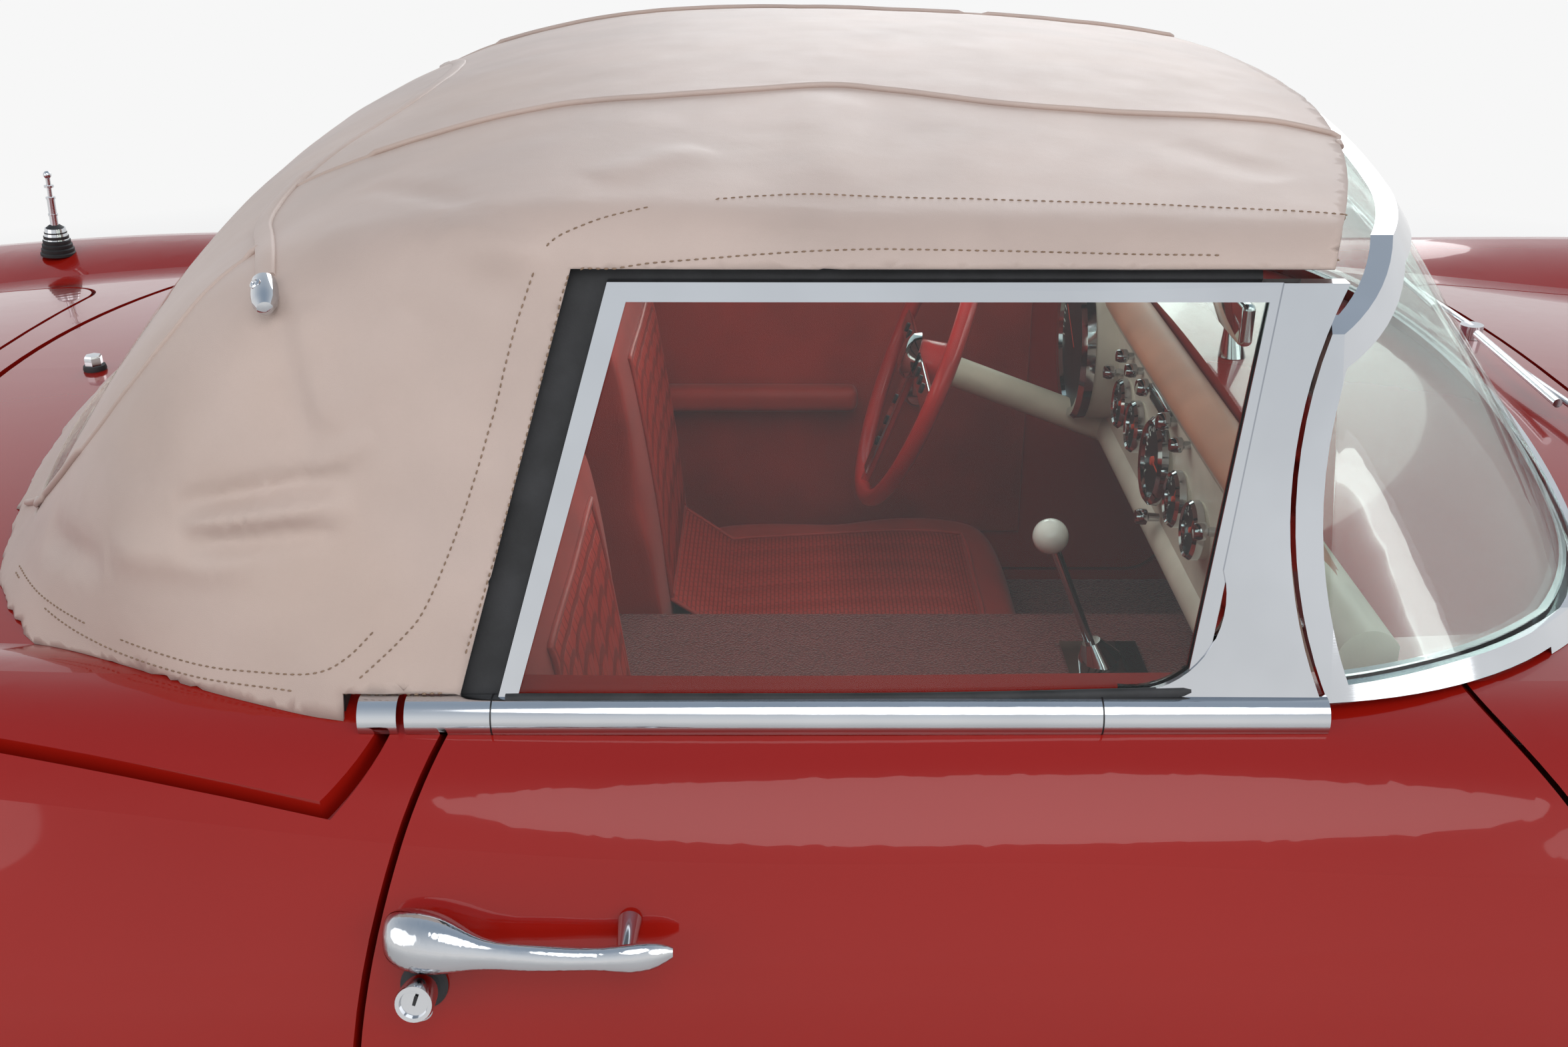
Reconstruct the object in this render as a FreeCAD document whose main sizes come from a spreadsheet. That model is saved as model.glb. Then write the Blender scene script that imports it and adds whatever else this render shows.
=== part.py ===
# Two-seat convertible car with its soft top up, in millimetres.
# X points forward, Y to the left and Z up. The origin is on the ground, in the middle of the length.
import math
import os

import FreeCAD
import Part
import Sketcher

Vector = FreeCAD.Vector

# Driving dimensions
SIZES = {
    "body_length": 4267,
    "body_width": 1791,
    "roof_height": 1284,
    "wheelbase": 2591,
    "front_overhang": 724,
    "front_track": 1448,
    "rear_track": 1499,
    "form_reach": 62,
    "tyre_radius": 345,
    "tyre_width": 168,
    "rim_radius": 190,
    "rim_width": 140,
    "rim_wall": 7,
    "hub_radius": 42,
    "spindle_radius": 20,
    "arch_radius": 392,
    "front_well_inner": 432,
    "rear_well_inner": 632,
    "panel_gap": 6,
    "lid_gap": 9,
    "seat_gap": 0.3,
    "panel_thickness": 20,
    "door_front": 548,
    "door_rear": -430,
    "door_bottom": 300,
    "door_inner": 690,
    "door_corner": 60,
    "door_taper": 0.24,
    "cabin_floor": 265,
    "cabin_front": 690,
    "cabin_rear": -520,
    "cockpit_front": 395,
    "cockpit_rear": -400,
    "cowl_under": 800,
    "pan_height": 240,
    "tunnel_half_width": 130,
    "tunnel_top": 480,
    "tunnel_wall": 25,
    "bay_front": 1800,
    "bay_rear": 800,
    "bay_half_width": 420,
    "hood_front": 1860,
    "hood_rear": 800,
    "hood_half_width": 455,
    "lid_ledge": 35,
    "trunk_front": -1075,
    "trunk_rear": -1790,
    "trunk_half_width": 450,
    "trunk_floor": 500,
    "trunk_wall": -1330,
    "cover_front": -408,
    "cover_half_width": 810,
    "cover_tail": -1020,
    "cove_depth": 12,
    "cove_trim_width": 9,
    "cove_trim_height": 4,
    "top_skin": 8,
    "glass_thickness": 5,
    "window_rear_low": -320,
    "window_rear_high": -233,
    "window_top": 1190,
    "window_front_low": 205,
    "window_front_high": 278,
    "post_front": 322,
    "window_seal": 26,
    "window_head_gap": 9,
    "screen_thickness": 6,
    "screen_frame": 22,
    "frame_foot": 532,
    "door_sweep_top": 874,
    "belt_height": 866,
    "belt_half_width": 752,
    "belt_radius": 16,
    "grille_height": 522,
    "grille_half_length": 390,
    "grille_radius": 82,
    "grille_rim": 13,
    "tooth_count": 13,
    "tooth_pitch": 61,
    "tooth_radius": 18,
    "lamp_height": 640,
    "lamp_half_span": 652,
    "lamp_radius": 98,
    "lamp_rim": 11,
    "lamp_front": 2012,
    "tail_lamp_height": 640,
    "tail_lamp_half_span": 600,
    "tail_lamp_radius": 50,
    "frame_inner": 345,
    "frame_outer": 415,
    "frame_bottom": 168,
    "frame_depth": 72,
    "kingpin_half_span": 664,
    "kingpin_radius": 12,
    "arm_half_reach": 118,
    "axle_tube_radius": 38,
    "differential_radius": 128,
    "spring_half_span": 545,
    "spring_width": 52,
    "spring_leaf": 30,
    "spring_half_length": 590,
    "pipe_radius": 24,
    "muffler_radius": 40,
    "pipe_half_span": 250,
    "seat_half_span": 405,
    "seat_width": 500,
    "steering_half_span": 400,
    "steering_radius": 215,
    "steering_grip": 12,
    "steering_reach": 95,
    "steering_height": 775,
    "column_rake": 21,
}

doc = FreeCAD.newDocument("convertible_car")
sheet = doc.addObject("Spreadsheet::Sheet", "sizes")
for row, (alias, value) in enumerate(SIZES.items(), 1):
    sheet.set("A%d" % row, alias)
    sheet.set("B%d" % row, str(value))
    sheet.setAlias("B%d" % row, alias)
doc.recompute()


def size(alias):
    """Value of one driving dimension, read from the sheet."""
    return float(sheet.get(alias))


HALF_LENGTH = size("body_length") / 2
HALF_WIDTH = size("body_width") / 2
FRONT_AXLE = HALF_LENGTH - size("front_overhang")
REAR_AXLE = FRONT_AXLE - size("wheelbase")
AXLE_HEIGHT = size("tyre_radius")
NOSE = HALF_LENGTH - size("form_reach")
TAIL = -NOSE
ROOF = size("roof_height")
SIDES = (("right", -1), ("left", 1))
pieces = []


def keep(obj, label):
    """Give an object of the document its label and list it for export."""
    obj.Label = label
    pieces.append(obj)
    return obj


def formed(label, shape):
    """A sub-part whose form comes from Part's own functions."""
    obj = doc.addObject("Part::Feature", label)
    obj.Shape = shape
    obj.Placement = FreeCAD.Placement()
    return keep(obj, label)


def box(x_low, x_high, y_low, y_high, z_low, z_high):
    """Solid box between two corners."""
    corner = Vector(x_low, y_low, z_low)
    return Part.makeBox(x_high - x_low, y_high - y_low, z_high - z_low, corner)


def both_sides(x_low, x_high, y_low, y_high, z_low, z_high):
    """Pair of boxes mirrored about the middle plane."""
    left = box(x_low, x_high, y_low, y_high, z_low, z_high)
    right = box(x_low, x_high, -y_high, -y_low, z_low, z_high)
    return [left, right]


def rod(start, end, radius):
    """Round bar between two points."""
    axis = end.sub(start)
    return Part.makeCylinder(radius, axis.Length, start, axis)


def mirrored(shape):
    """The same shape on the other side of the middle plane."""
    return shape.mirror(Vector(0, 0, 0), Vector(0, 1, 0))


def moved(shape, x=0, y=0, z=0):
    """Copy of a shape, shifted."""
    return shape.translated(Vector(x, y, z))


def sagitta_point(start, end, tangent):
    """Middle of the arc that leaves start along tangent and ends at end (pairs of coordinates)."""
    chord = (end[0] - start[0], end[1] - start[1])
    cross = chord[0] * tangent[1] - chord[1] * tangent[0]
    along = chord[0] * tangent[0] + chord[1] * tangent[1]
    rise = math.tan(math.atan2(cross, along) / 2) / 2
    middle = ((start[0] + end[0]) / 2, (start[1] + end[1]) / 2)
    return (middle[0] - chord[1] * rise, middle[1] + chord[0] * rise)


def arc(start, middle, end):
    """Edge of a circular arc through three points."""
    return Part.Arc(start, middle, end).toShape()


def outline(steps, place):
    """Closed wire: each step ends a line (one point) or an arc (middle and end point)."""
    edges = []
    here = steps[0][-1]
    for step in steps[1:] + steps[:1]:
        if len(step) == 2:
            edges.append(arc(place(here), place(step[0]), place(step[1])))
        else:
            edges.append(Part.makeLine(place(here), place(step[0])))
        here = step[-1]
    return Part.Wire(edges)


def side_prism(steps, y_low, y_high):
    """Prism across the car from an outline of (x, z) points."""
    wire = outline(steps, lambda point: Vector(point[0], y_low, point[1]))
    return Part.Face(wire).extrude(Vector(0, y_high - y_low, 0))


def plan_prism(steps, z_low, z_high):
    """Upright prism from an outline of (x, y) points."""
    wire = outline(steps, lambda point: Vector(point[0], point[1], z_low))
    return Part.Face(wire).extrude(Vector(0, 0, z_high - z_low))


def rounded_plan(x_low, x_high, half_width, radius, z_low, z_high):
    """Upright prism with round corners, centred on the middle plane."""
    block = box(x_low, x_high, -half_width, half_width, z_low, z_high)
    corners = [edge for edge in block.Edges if abs(edge.tangentAt(edge.FirstParameter).z) > 0.9]
    return block.makeFillet(radius, corners)


# Outer form of the body: one row for each cross-section, front to rear.
# Heights (_z) are above the ground and insets (_in) are from the widest point of the car.
# Columns: anchor, offset, mid_z, valley_in, valley_z, crown_in, crown_z, roll radius,
# wide_in, wide_z, sill_in, sill_z
SECTIONS = (
    (NOSE, 0, 640, 500, 628, 380, 655, 58, 305, 520, 365, 385),
    (NOSE, -55, 694, 455, 682, 300, 722, 80, 200, 555, 275, 325),
    (NOSE, -155, 745, 445, 733, 250, 792, 95, 105, 580, 180, 285),
    (NOSE, -318, 785, 435, 770, 222, 832, 105, 42, 585, 105, 250),
    (FRONT_AXLE, 0, 842, 400, 815, 195, 866, 130, 10, 580, 62, 222),
    (FRONT_AXLE, -409, 880, 350, 845, 190, 872, 140, 5, 575, 50, 212),
    (size("door_front"), 142, 902, 300, 862, 190, 870, 150, 6, 575, 45, 208),
    (size("door_front"), -418, 905, 250, 864, 190, 868, 150, 4, 575, 42, 205),
    (size("door_rear"), 0, 903, 240, 864, 190, 870, 145, 2, 580, 42, 208),
    (size("door_rear"), -370, 898, 270, 862, 190, 880, 130, 0, 590, 45, 215),
    (REAR_AXLE, 0, 886, 305, 845, 185, 872, 125, 0, 595, 50, 230),
    (REAR_AXLE, -418, 842, 345, 795, 185, 835, 108, 30, 590, 90, 262),
    (TAIL, 220, 775, 385, 730, 220, 792, 98, 85, 575, 150, 300),
    (TAIL, 85, 705, 420, 672, 265, 735, 85, 150, 560, 220, 335),
    (TAIL, 0, 640, 470, 618, 330, 665, 65, 235, 545, 310, 385),
)


def roll_angle(crown, radius, wide):
    """Turn of the crown's arc after which one more arc meets the widest point upright."""
    low = 0.0
    high = math.pi / 2 - 0.001
    for _ in range(60):
        angle = (low + high) / 2
        drop = crown[1] - radius * (1 - math.cos(angle)) - wide[1]
        reach = wide[0] - crown[0] - radius * math.sin(angle)
        if drop > math.tan((angle + math.pi / 2) / 2) * reach:
            low = angle
        else:
            high = angle
    return angle


def half_section(row):
    """Points of half a cross-section as (y, z) arcs: list of (start, middle, end)."""
    mid_z, valley_in, valley_z, crown_in, crown_z, roll, wide_in, wide_z, sill_in, sill_z = row[2:]
    top = (0.0, mid_z)
    valley = (HALF_WIDTH - valley_in, valley_z)
    crown = (HALF_WIDTH - crown_in, crown_z)
    wide = (HALF_WIDTH - wide_in, wide_z)
    sill = (HALF_WIDTH - sill_in, sill_z)
    turn = roll_angle(crown, roll, wide)
    shoulder = (crown[0] + roll * math.sin(turn), crown[1] - roll * (1 - math.cos(turn)))
    bend = (crown[0] + roll * math.sin(turn / 2), crown[1] - roll * (1 - math.cos(turn / 2)))
    return (
        (top, sagitta_point(top, valley, (1, 0)), valley),
        (valley, sagitta_point(crown, valley, (-1, 0)), crown),
        (crown, bend, shoulder),
        (shoulder, sagitta_point(wide, shoulder, (0, 1)), wide),
        (wide, sagitta_point(wide, sill, (0, -1)), sill),
    )


def body_section(row):
    """Closed cross-section of the body at its place along the car."""
    x = row[0] + row[1]
    edges = []
    half = half_section(row)
    for start, middle, end in reversed(half):
        edges.append(arc(Vector(x, -end[0], end[1]), Vector(x, -middle[0], middle[1]),
                         Vector(x, -start[0], start[1])))
    for start, middle, end in half:
        edges.append(arc(Vector(x, start[0], start[1]), Vector(x, middle[0], middle[1]),
                         Vector(x, end[0], end[1])))
    sill = half[-1][2]
    edges.append(Part.makeLine(Vector(x, sill[0], sill[1]), Vector(x, -sill[0], sill[1])))
    return Part.Wire(edges)


def end_bow(x_end, radius):
    """Upright drum that rounds the front or the tail in plan and takes off its flat end."""
    sign = 1 if x_end > 0 else -1
    return Part.makeCylinder(radius, 1000, Vector(x_end - sign * (radius + 2), 0, 0))


plain_form = Part.makeLoft([body_section(row) for row in SECTIONS], True, False)
for x_end in (NOSE, TAIL):
    plain_form = plain_form.common(end_bow(x_end, 2600))


# Side coves behind the front wheels, pressed inward
COVE_UPPER = (-60, 560)
COVE_POINT = (-130, 520)
COVE_LOWER = (-60, 490)


def cove_steps(grow):
    """Outline of a cove in side view, grown by a margin."""
    reach = size("arch_radius") + 48 - grow
    high = 655 + grow
    low = 330 - grow
    rise_high = high - AXLE_HEIGHT
    rise_low = low - AXLE_HEIGHT
    front_high = (FRONT_AXLE - math.sqrt(reach ** 2 - rise_high ** 2), high)
    front_low = (FRONT_AXLE - math.sqrt(reach ** 2 - rise_low ** 2), low)
    middle_rise = (rise_high + rise_low) / 2
    front_middle = (FRONT_AXLE - math.sqrt(reach ** 2 - middle_rise ** 2), AXLE_HEIGHT + middle_rise)
    upper = (COVE_UPPER[0], COVE_UPPER[1] + grow)
    lower = (COVE_LOWER[0], COVE_LOWER[1] - grow)
    return [(front_high,), (front_middle, front_low), (lower,),
            ((COVE_POINT[0] - grow, COVE_POINT[1]), upper)]


def cove_press(side):
    """What a cove takes off one side of the body."""
    steps = cove_steps(0)
    prism = side_prism(steps, side * size("door_inner"), side * (HALF_WIDTH + 50))
    return prism.cut(moved(plain_form, y=-side * size("cove_depth")))


form = plain_form.cut([cove_press(side) for _, side in SIDES])


# Doors: outline in side view, with a taper so that the rear face swings clear
def door_steps(grow, shift):
    """Outline of a door in side view; shift moves the rear edge forward toward the inside."""
    front = size("door_front") + grow
    rear = size("door_rear") - grow + shift
    low = size("door_bottom") - grow
    corner = size("door_corner")
    bend = corner * (1 - math.sqrt(0.5))
    top = 980
    return [
        ((rear + 40, top),),
        ((rear + 40, 880),),
        ((rear + 12, 725), (rear, 560)),
        ((rear, low + corner),),
        ((rear + bend, low + bend), (rear + corner, low)),
        ((front - corner, low),),
        ((front - bend, low + bend), (front, low + corner)),
        ((front, 640),),
        ((front - 35, 785), (front - 127, 880)),
        ((front - 127, top),),
    ]


def door_block(side, grow):
    """Tapered block that cuts a door out of the body's form."""
    inner = size("door_inner")
    outer = HALF_WIDTH + 25
    shift = (outer - inner) * size("door_taper")
    wires = []
    for depth, forward in ((inner, shift), (outer, 0)):
        wires.append(outline(door_steps(grow, forward),
                             lambda point: Vector(point[0], side * depth, point[1])))
    return Part.makeLoft(wires, True, True)


for name, side in SIDES:
    formed("door_" + name, form.common(door_block(side, 0)))


# Lids: panels cut from the form and the ledges that they lie on
def panel(block):
    """Panel as thick as a lid, cut from the form by a block seen in plan."""
    return form.common(block).cut(moved(form, z=-size("panel_thickness")))


def panel_seat(block):
    """Recess that a panel lies in, with the clearance under it."""
    return block.cut(moved(form, z=-size("panel_thickness") - size("panel_gap")))


def hood_block(grow):
    """Plan of the hood."""
    return rounded_plan(size("hood_rear") - grow, size("hood_front") + grow,
                        size("hood_half_width") + grow, 70 + grow, 500, 1000)


def trunk_block(grow):
    """Plan of the trunk lid; its rear gap is wider, because that edge swings back as it opens."""
    return rounded_plan(size("trunk_rear") - 1.5 * grow, size("trunk_front") + grow,
                        size("trunk_half_width") + grow, 90 + grow, 500, 1000)


def cover_block(grow):
    """Plan of the lid over the folded top, behind the cockpit."""
    front = size("cover_front") + grow
    wide = size("cover_half_width") + grow
    tail = size("cover_tail") - grow
    half = [((front - 12, wide - 32), (front - 40, wide)), ((tail + 260, wide - 45),),
            ((tail + 132, wide - 145), (tail + 75, wide - 325))]
    steps = [((front, -(wide - 75)),)] + [tuple((x, -y) for x, y in step) for step in half]
    steps += [((tail, 0), half[2][1]), (half[2][0], half[1][0]), (half[0][1],), (half[0][0], (front, wide - 75))]
    return plan_prism(steps, 600, 1000)


def fuel_block(grow):
    """Side view of the fuel lid on the left rear quarter."""
    return box(-690 - grow, -565 + grow, 600, HALF_WIDTH + 30, 690 - grow, 795 + grow)


formed("hood", panel(hood_block(0)))
formed("trunk_lid", panel(trunk_block(0)))
formed("top_cover_lid", panel(cover_block(0)))
fuel_skin = moved(form, y=-12)
formed("fuel_lid", form.common(fuel_block(0)).cut(fuel_skin))


# Body with its hollows
def wheel_well(x, inner, side):
    """Round wheel well, open to the outside."""
    start = Vector(x, side * inner, AXLE_HEIGHT)
    return Part.makeCylinder(size("arch_radius"), HALF_WIDTH + 60 - inner, start, Vector(0, side, 0))


def cabin_hollow():
    """Room for two people, open at the top between cowl and rear deck."""
    inner = size("door_inner")
    floor = size("cabin_floor")
    room = box(size("cabin_rear"), size("cabin_front"), -inner, inner, floor, size("cowl_under"))
    mouth = box(size("cockpit_rear"), size("cockpit_front"), -inner, inner, 700, 1000)
    tunnel = size("tunnel_half_width")
    ridge = box(size("cabin_rear"), size("cabin_front"), -tunnel, tunnel, floor, size("tunnel_top"))
    return room.fuse(mouth).cut(ridge)


def underside():
    """Recesses below the body for the frame, axle, springs and transmission."""
    rail_low = size("frame_inner") - 5
    rail_high = size("frame_outer") + 5
    pan = size("pan_height")
    tunnel = size("tunnel_half_width") - size("tunnel_wall")
    roof = size("tunnel_top") - size("tunnel_wall")
    cuts = [box(-620, 1000, -600, 600, 150, pan)]
    cuts += [box(-620, 830, -tunnel, tunnel, 150, roof)]
    cuts += both_sides(-2040, -600, rail_low, rail_high, 150, 486)
    cuts += [box(-2000, -1915, -rail_low, rail_low, 150, 400)]
    cuts += [box(REAR_AXLE - 170, REAR_AXLE + 222, -size("rear_well_inner"), size("rear_well_inner"),
                 150, 486)]
    cuts += both_sides(-1850, -560, rail_high - 5, 600, 150, 486)
    cuts += both_sides(-2200, -600, 205, 290, 150, 330)
    cuts += [box(1780, 1965, -420, 420, 150, 345)]
    cuts += [box(REAR_AXLE + 150, -600, -60, 60, 150, 400)]
    cuts += both_sides(FRONT_AXLE - 110, FRONT_AXLE + 110, 400, size("front_well_inner") + 90, 150, 486)
    return cuts


def headlight_house(side):
    """Round housing of a headlight at the front of the fender."""
    start = Vector(NOSE - 330, side * (size("lamp_half_span") + 6), size("lamp_height") + 10)
    length = size("lamp_front") - start.x
    house = Part.makeCone(96, size("lamp_radius") + 12, length, start, Vector(1, 0, 0))
    return house


def tail_lamp_pocket(side):
    """Round recess of a tail lamp at the end of a rear fender."""
    floor = Vector(TAIL + 125, side * size("tail_lamp_half_span"), size("tail_lamp_height"))
    return Part.makeCylinder(size("tail_lamp_radius") + 5, 160, floor, Vector(-1, 0, 0))


def grille_wire(x, grow):
    """Long oval of the grille in a cross plane."""
    half = size("grille_half_length")
    radius = size("grille_radius") + grow
    mid = size("grille_height")
    steps = [
        ((half + radius, mid), (half, mid + radius)),
        ((-half, mid + radius),),
        ((-half - radius, mid), (-half, mid - radius)),
        ((half, mid - radius),),
    ]
    return outline(steps, lambda point: Vector(x, point[0], point[1]))


cavities = [cabin_hollow()]
cavities += [box(size("bay_rear"), size("bay_front"), -size("bay_half_width"), size("bay_half_width"), 150, 700)]
hood_mouth = hood_block(-size("lid_ledge"))
trunk_mouth = trunk_block(-size("lid_ledge"))
cavities += [hood_mouth.common(box(size("bay_rear"), size("bay_front"), -460, 460, 650, 1000))]
cavities += [trunk_mouth.common(box(size("trunk_rear"), size("trunk_wall"), -460, 460, 600, 1000))]
cavities += [box(size("trunk_rear") + 60, size("trunk_wall"), -330, 330, size("trunk_floor"), 700)]
cavities += [panel_seat(hood_block(size("panel_gap")))]
cavities += [panel_seat(trunk_block(size("panel_gap")))]
cavities += [cover_block(size("lid_gap")).cut(moved(form, z=-size("panel_thickness") - size("seat_gap")))]
cavities += [fuel_block(size("panel_gap")).cut(moved(form, y=-40))]
for name, side in SIDES:
    cavities += [door_block(side, size("panel_gap"))]
    cavities += [wheel_well(FRONT_AXLE, size("front_well_inner"), side)]
    cavities += [wheel_well(REAR_AXLE, size("rear_well_inner"), side)]
cavities += underside()
cavities += [Part.Face(grille_wire(1950, size("grille_rim") + 2.3)).extrude(Vector(300, 0, 0))]
for _, side in SIDES:
    cavities += [tail_lamp_pocket(side)]
hull = form.fuse([headlight_house(side) for _, side in SIDES])
formed("body", hull.cut(cavities))


# Soft top: one row for each arch, from the windshield to the hem on the rear deck.
# An arch stands on a base line across the car and reaches its top in a plane that may lean back.
# Columns: base_x, base_z, top_x, top_z, base_y, shoulder_y, shoulder_rise, corner_y
ARCHES = (
    (520, 840, 520, 1210, 763, 666, 296, 612),
    (250, 840, 250, 1264, 763, 653, 338, 602),
    (-100, 840, -100, ROOF, 763, 650, 346, 600),
    (-430, 840, -430, 1244, 763, 656, 310, 580),
    (-500, 842, -645, 1146, 750, 686, 170, 535),
    (-545, 840, -775, 1008, 742, 694, 90, 500),
    (-545, 832, -905, 884, 745, 712, 75, 480),
)


def arch_points(row, inset):
    """Half an arch as (y, rise) points: base, shoulder, corner and top, moved inward."""
    base_x, base_z, top_x, top_z, base_y, shoulder_y, shoulder_rise, corner_y = row
    reach = math.hypot(top_x - base_x, top_z - base_z) - inset
    below = 2 * inset
    base = (base_y - inset + below * (base_y - shoulder_y) / shoulder_rise, -below)
    shoulder = (shoulder_y - inset, shoulder_rise - 0.3 * inset)
    corner_y -= 0.5 * inset
    side_angle = math.atan2(shoulder[1] - base[1], shoulder[0] - base[0])
    rise = reach
    for _ in range(30):
        top_angle = math.pi - math.atan(2 * (reach - rise) / corner_y)
        chord_angle = (side_angle + top_angle) / 2
        rise = shoulder[1] + (shoulder[0] - corner_y) * math.tan(math.pi - chord_angle)
    return base, shoulder, (corner_y, rise), (0, reach)


def arch_wire(row, inset):
    """Closed outline of an arch in its leaning plane."""
    base_x, base_z, top_x, top_z = row[:4]
    length = math.hypot(top_x - base_x, top_z - base_z)
    lean = ((top_x - base_x) / length, (top_z - base_z) / length)
    base, shoulder, corner, top = arch_points(row, inset)
    side = (shoulder[0] - base[0], shoulder[1] - base[1])
    bend = sagitta_point(shoulder, corner, side)
    crest = sagitta_point(top, corner, (1, 0))

    def place(point):
        return Vector(base_x + lean[0] * point[1], point[0], base_z + lean[1] * point[1])

    def other(point):
        return (-point[0], point[1])

    steps = [
        (base,), (shoulder,), (bend, corner), (crest, top),
        (other(crest), other(corner)), (other(bend), other(shoulder)), (other(base),),
    ]
    return outline(steps, place)


def tent(inset):
    """Solid under the soft top's outer face, moved inward and lengthened at its open ends."""
    rows = [list(row) for row in ARCHES]
    for column in (0, 2):
        rows[0][column] += inset
    for column in (1, 3):
        rows[-1][column] -= inset
    return Part.makeLoft([arch_wire(row, inset) for row in rows], True, False)


def window_rear(height):
    """Place along the car of the window's leaning rear edge at a height."""
    low = size("window_rear_low")
    return low + (size("window_rear_high") - low) * (height - 880) / 300


def window_prism(rear_shift, top, front, low=800):
    """Prism through both sides of the car that follows the door window's rear and top edges."""
    rear_low = window_rear(low) - rear_shift
    rear_high = window_rear(top) - rear_shift
    steps = [((rear_low, low),), ((rear_high, top),), ((front, top),), ((front, low),)]
    return side_prism(steps, -900, 900)


def header_plan(grow):
    """Everything behind the front edge of the soft top, in plan."""
    steps = [((-1500, -900),), ((300 + grow, -900),), ((300 + grow, -680),),
             ((437 + grow, 0), (300 + grow, 680)), ((300 + grow, 900),), ((-1500, 900),)]
    return plan_prism(steps, 700, 1400)


tent_outer = tent(0)
tent_skin = tent(size("top_skin"))
tent_frame = tent(size("top_skin") + size("seat_gap"))
deck_clear = moved(form, z=size("seat_gap"))
window_top = size("window_top")
cloth = tent_outer.cut(tent_skin).common(header_plan(0))
cloth = cloth.cut(window_prism(size("window_seal") + 4, window_top, 700)).cut(deck_clear)


def belt_space(grow):
    """Room round the belt moulding of both sides."""
    radius = size("belt_radius") + grow
    return [Part.makeCylinder(radius, 900, Vector(-440, side * size("belt_half_width"), size("belt_height")),
                              Vector(1, 0, 0)) for _, side in SIDES]


cloth = cloth.cut(belt_space(1))


def pane_prism(grow):
    """Rear window's outline, seen from behind."""
    steps = [((500 + grow, 925 - grow),), ((450 + grow, 1070),), ((420, 1100 + grow),),
             ((-420, 1100 + grow),), ((-450 - grow, 1070),), ((-500 - grow, 925 - grow),)]
    wire = outline(steps, lambda point: Vector(-1100, point[0], point[1]))
    return Part.Face(wire).extrude(Vector(600, 0, 0))


formed("soft_top", cloth.cut(pane_prism(0)))
pane = tent_outer.cut(tent_skin).common(pane_prism(-size("seat_gap")))
formed("rear_window", pane)

frame_shell = tent_frame.cut(tent(26))
bows = box(-470, -440, -900, 900, 850, 1400)
bows = bows.fuse([box(x - 16, x + 16, -900, 900, window_top + 2, 1400) for x in (-150, 150)])
bows = bows.fuse([box(270, 450, -900, 900, window_top + 2, 1400)])
bows = bows.fuse(both_sides(-470, 300, 560, 800, window_top + 2, 1225))
formed("top_frame", frame_shell.common(bows).common(header_plan(-28)).cut(deck_clear))

seal_shell = tent(10).cut(tent(17))
seal_ring = window_prism(size("window_seal") + 18, window_top + 1.5, 262)
seal_ring = seal_ring.cut(window_prism(-14, window_top - 22, 300))
formed("top_seal", seal_shell.common(seal_ring).cut([moved(form, z=4)] + belt_space(0.3)))


# Windshield that wraps round to the posts
# Columns: height, middle_x, bend_x, bend_y, post_y
SCREEN_LEVELS = (
    (858, 725, 650, 484, 748),
    (1235, 434, 398, 430, 628),
)
POST_X = size("post_front")


def screen_block(inset, back):
    """Solid behind the windshield's outer face, moved inward."""
    wires = []
    for height, middle_x, bend_x, bend_y, post_y in SCREEN_LEVELS:
        middle = (middle_x - inset, 0)
        bend = (bend_x - inset, bend_y - inset / 2)
        post = (POST_X, post_y - inset)
        crest = sagitta_point(middle, bend, (0, 1))
        turn = math.atan2(bend[0] - middle[0], bend[1]) * 2
        corner = sagitta_point(bend, post, (math.sin(turn), math.cos(turn)))
        steps = [
            ((back, -post[1]),), ((post[0], -post[1]),),
            ((corner[0], -corner[1]), (bend[0], -bend[1])),
            ((crest[0], -crest[1]), middle),
            (crest, bend),
            (corner, post),
            ((back, post[1]),),
        ]
        wires.append(outline(steps, lambda point: Vector(point[0], point[1], height)))
    return Part.makeLoft(wires, True, True)


def ahead_of_post(gap):
    """Everything in front of the door post's hollow front edge."""
    steps = [((POST_X + gap, 700),), ((POST_X + gap, 868),), ((POST_X - 33 + gap, 1010), (POST_X + 6 + gap, 1180)),
             ((POST_X + 6 + gap, 1400),), ((900, 1400),), ((900, 700),)]
    return side_prism(steps, -900, 900)


def header_cap(drop):
    """Everything below the windshield's top edge."""
    steps = [((-750, 700),), ((750, 700),), ((750, 1100 - drop),), ((560, 1194 - drop),),
             ((0, 1221 - drop), (-560, 1194 - drop)), ((-750, 1100 - drop),)]
    wire = outline(steps, lambda point: Vector(200, point[0], point[1]))
    return Part.Face(wire).extrude(Vector(700, 0, 0))


def door_sweep(rise):
    """Room above the doors' upper edges, which pass below the windshield's ends as the doors swing."""
    return box(POST_X - 40, size("frame_foot"), -900, 900, 800, size("door_sweep_top") + rise)


screen = screen_block(0, 250).cut(screen_block(size("screen_thickness"), 200))
screen_hull = screen_block(-5, 250).cut(screen_block(size("screen_thickness") + 5, 200))
edge = size("screen_frame")
half_edge = edge / 2
screen_zone = header_cap(0).common(ahead_of_post(1))
screen_zone = screen_zone.cut(moved(form, z=0.4))
screen_core = header_cap(edge).common(ahead_of_post(edge))
screen_core = screen_core.cut(moved(form, z=edge))
glass_zone = header_cap(half_edge).common(ahead_of_post(half_edge))
glass_zone = glass_zone.cut(moved(form, z=half_edge))
screen_glass = screen.common(glass_zone).cut(door_sweep(6))
formed("windshield_glass", screen_glass)
screen_hull = screen_hull.common(screen_zone).cut(door_sweep(0))
formed("windshield_frame", screen_hull.cut(screen_core).cut(screen_glass))


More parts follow.
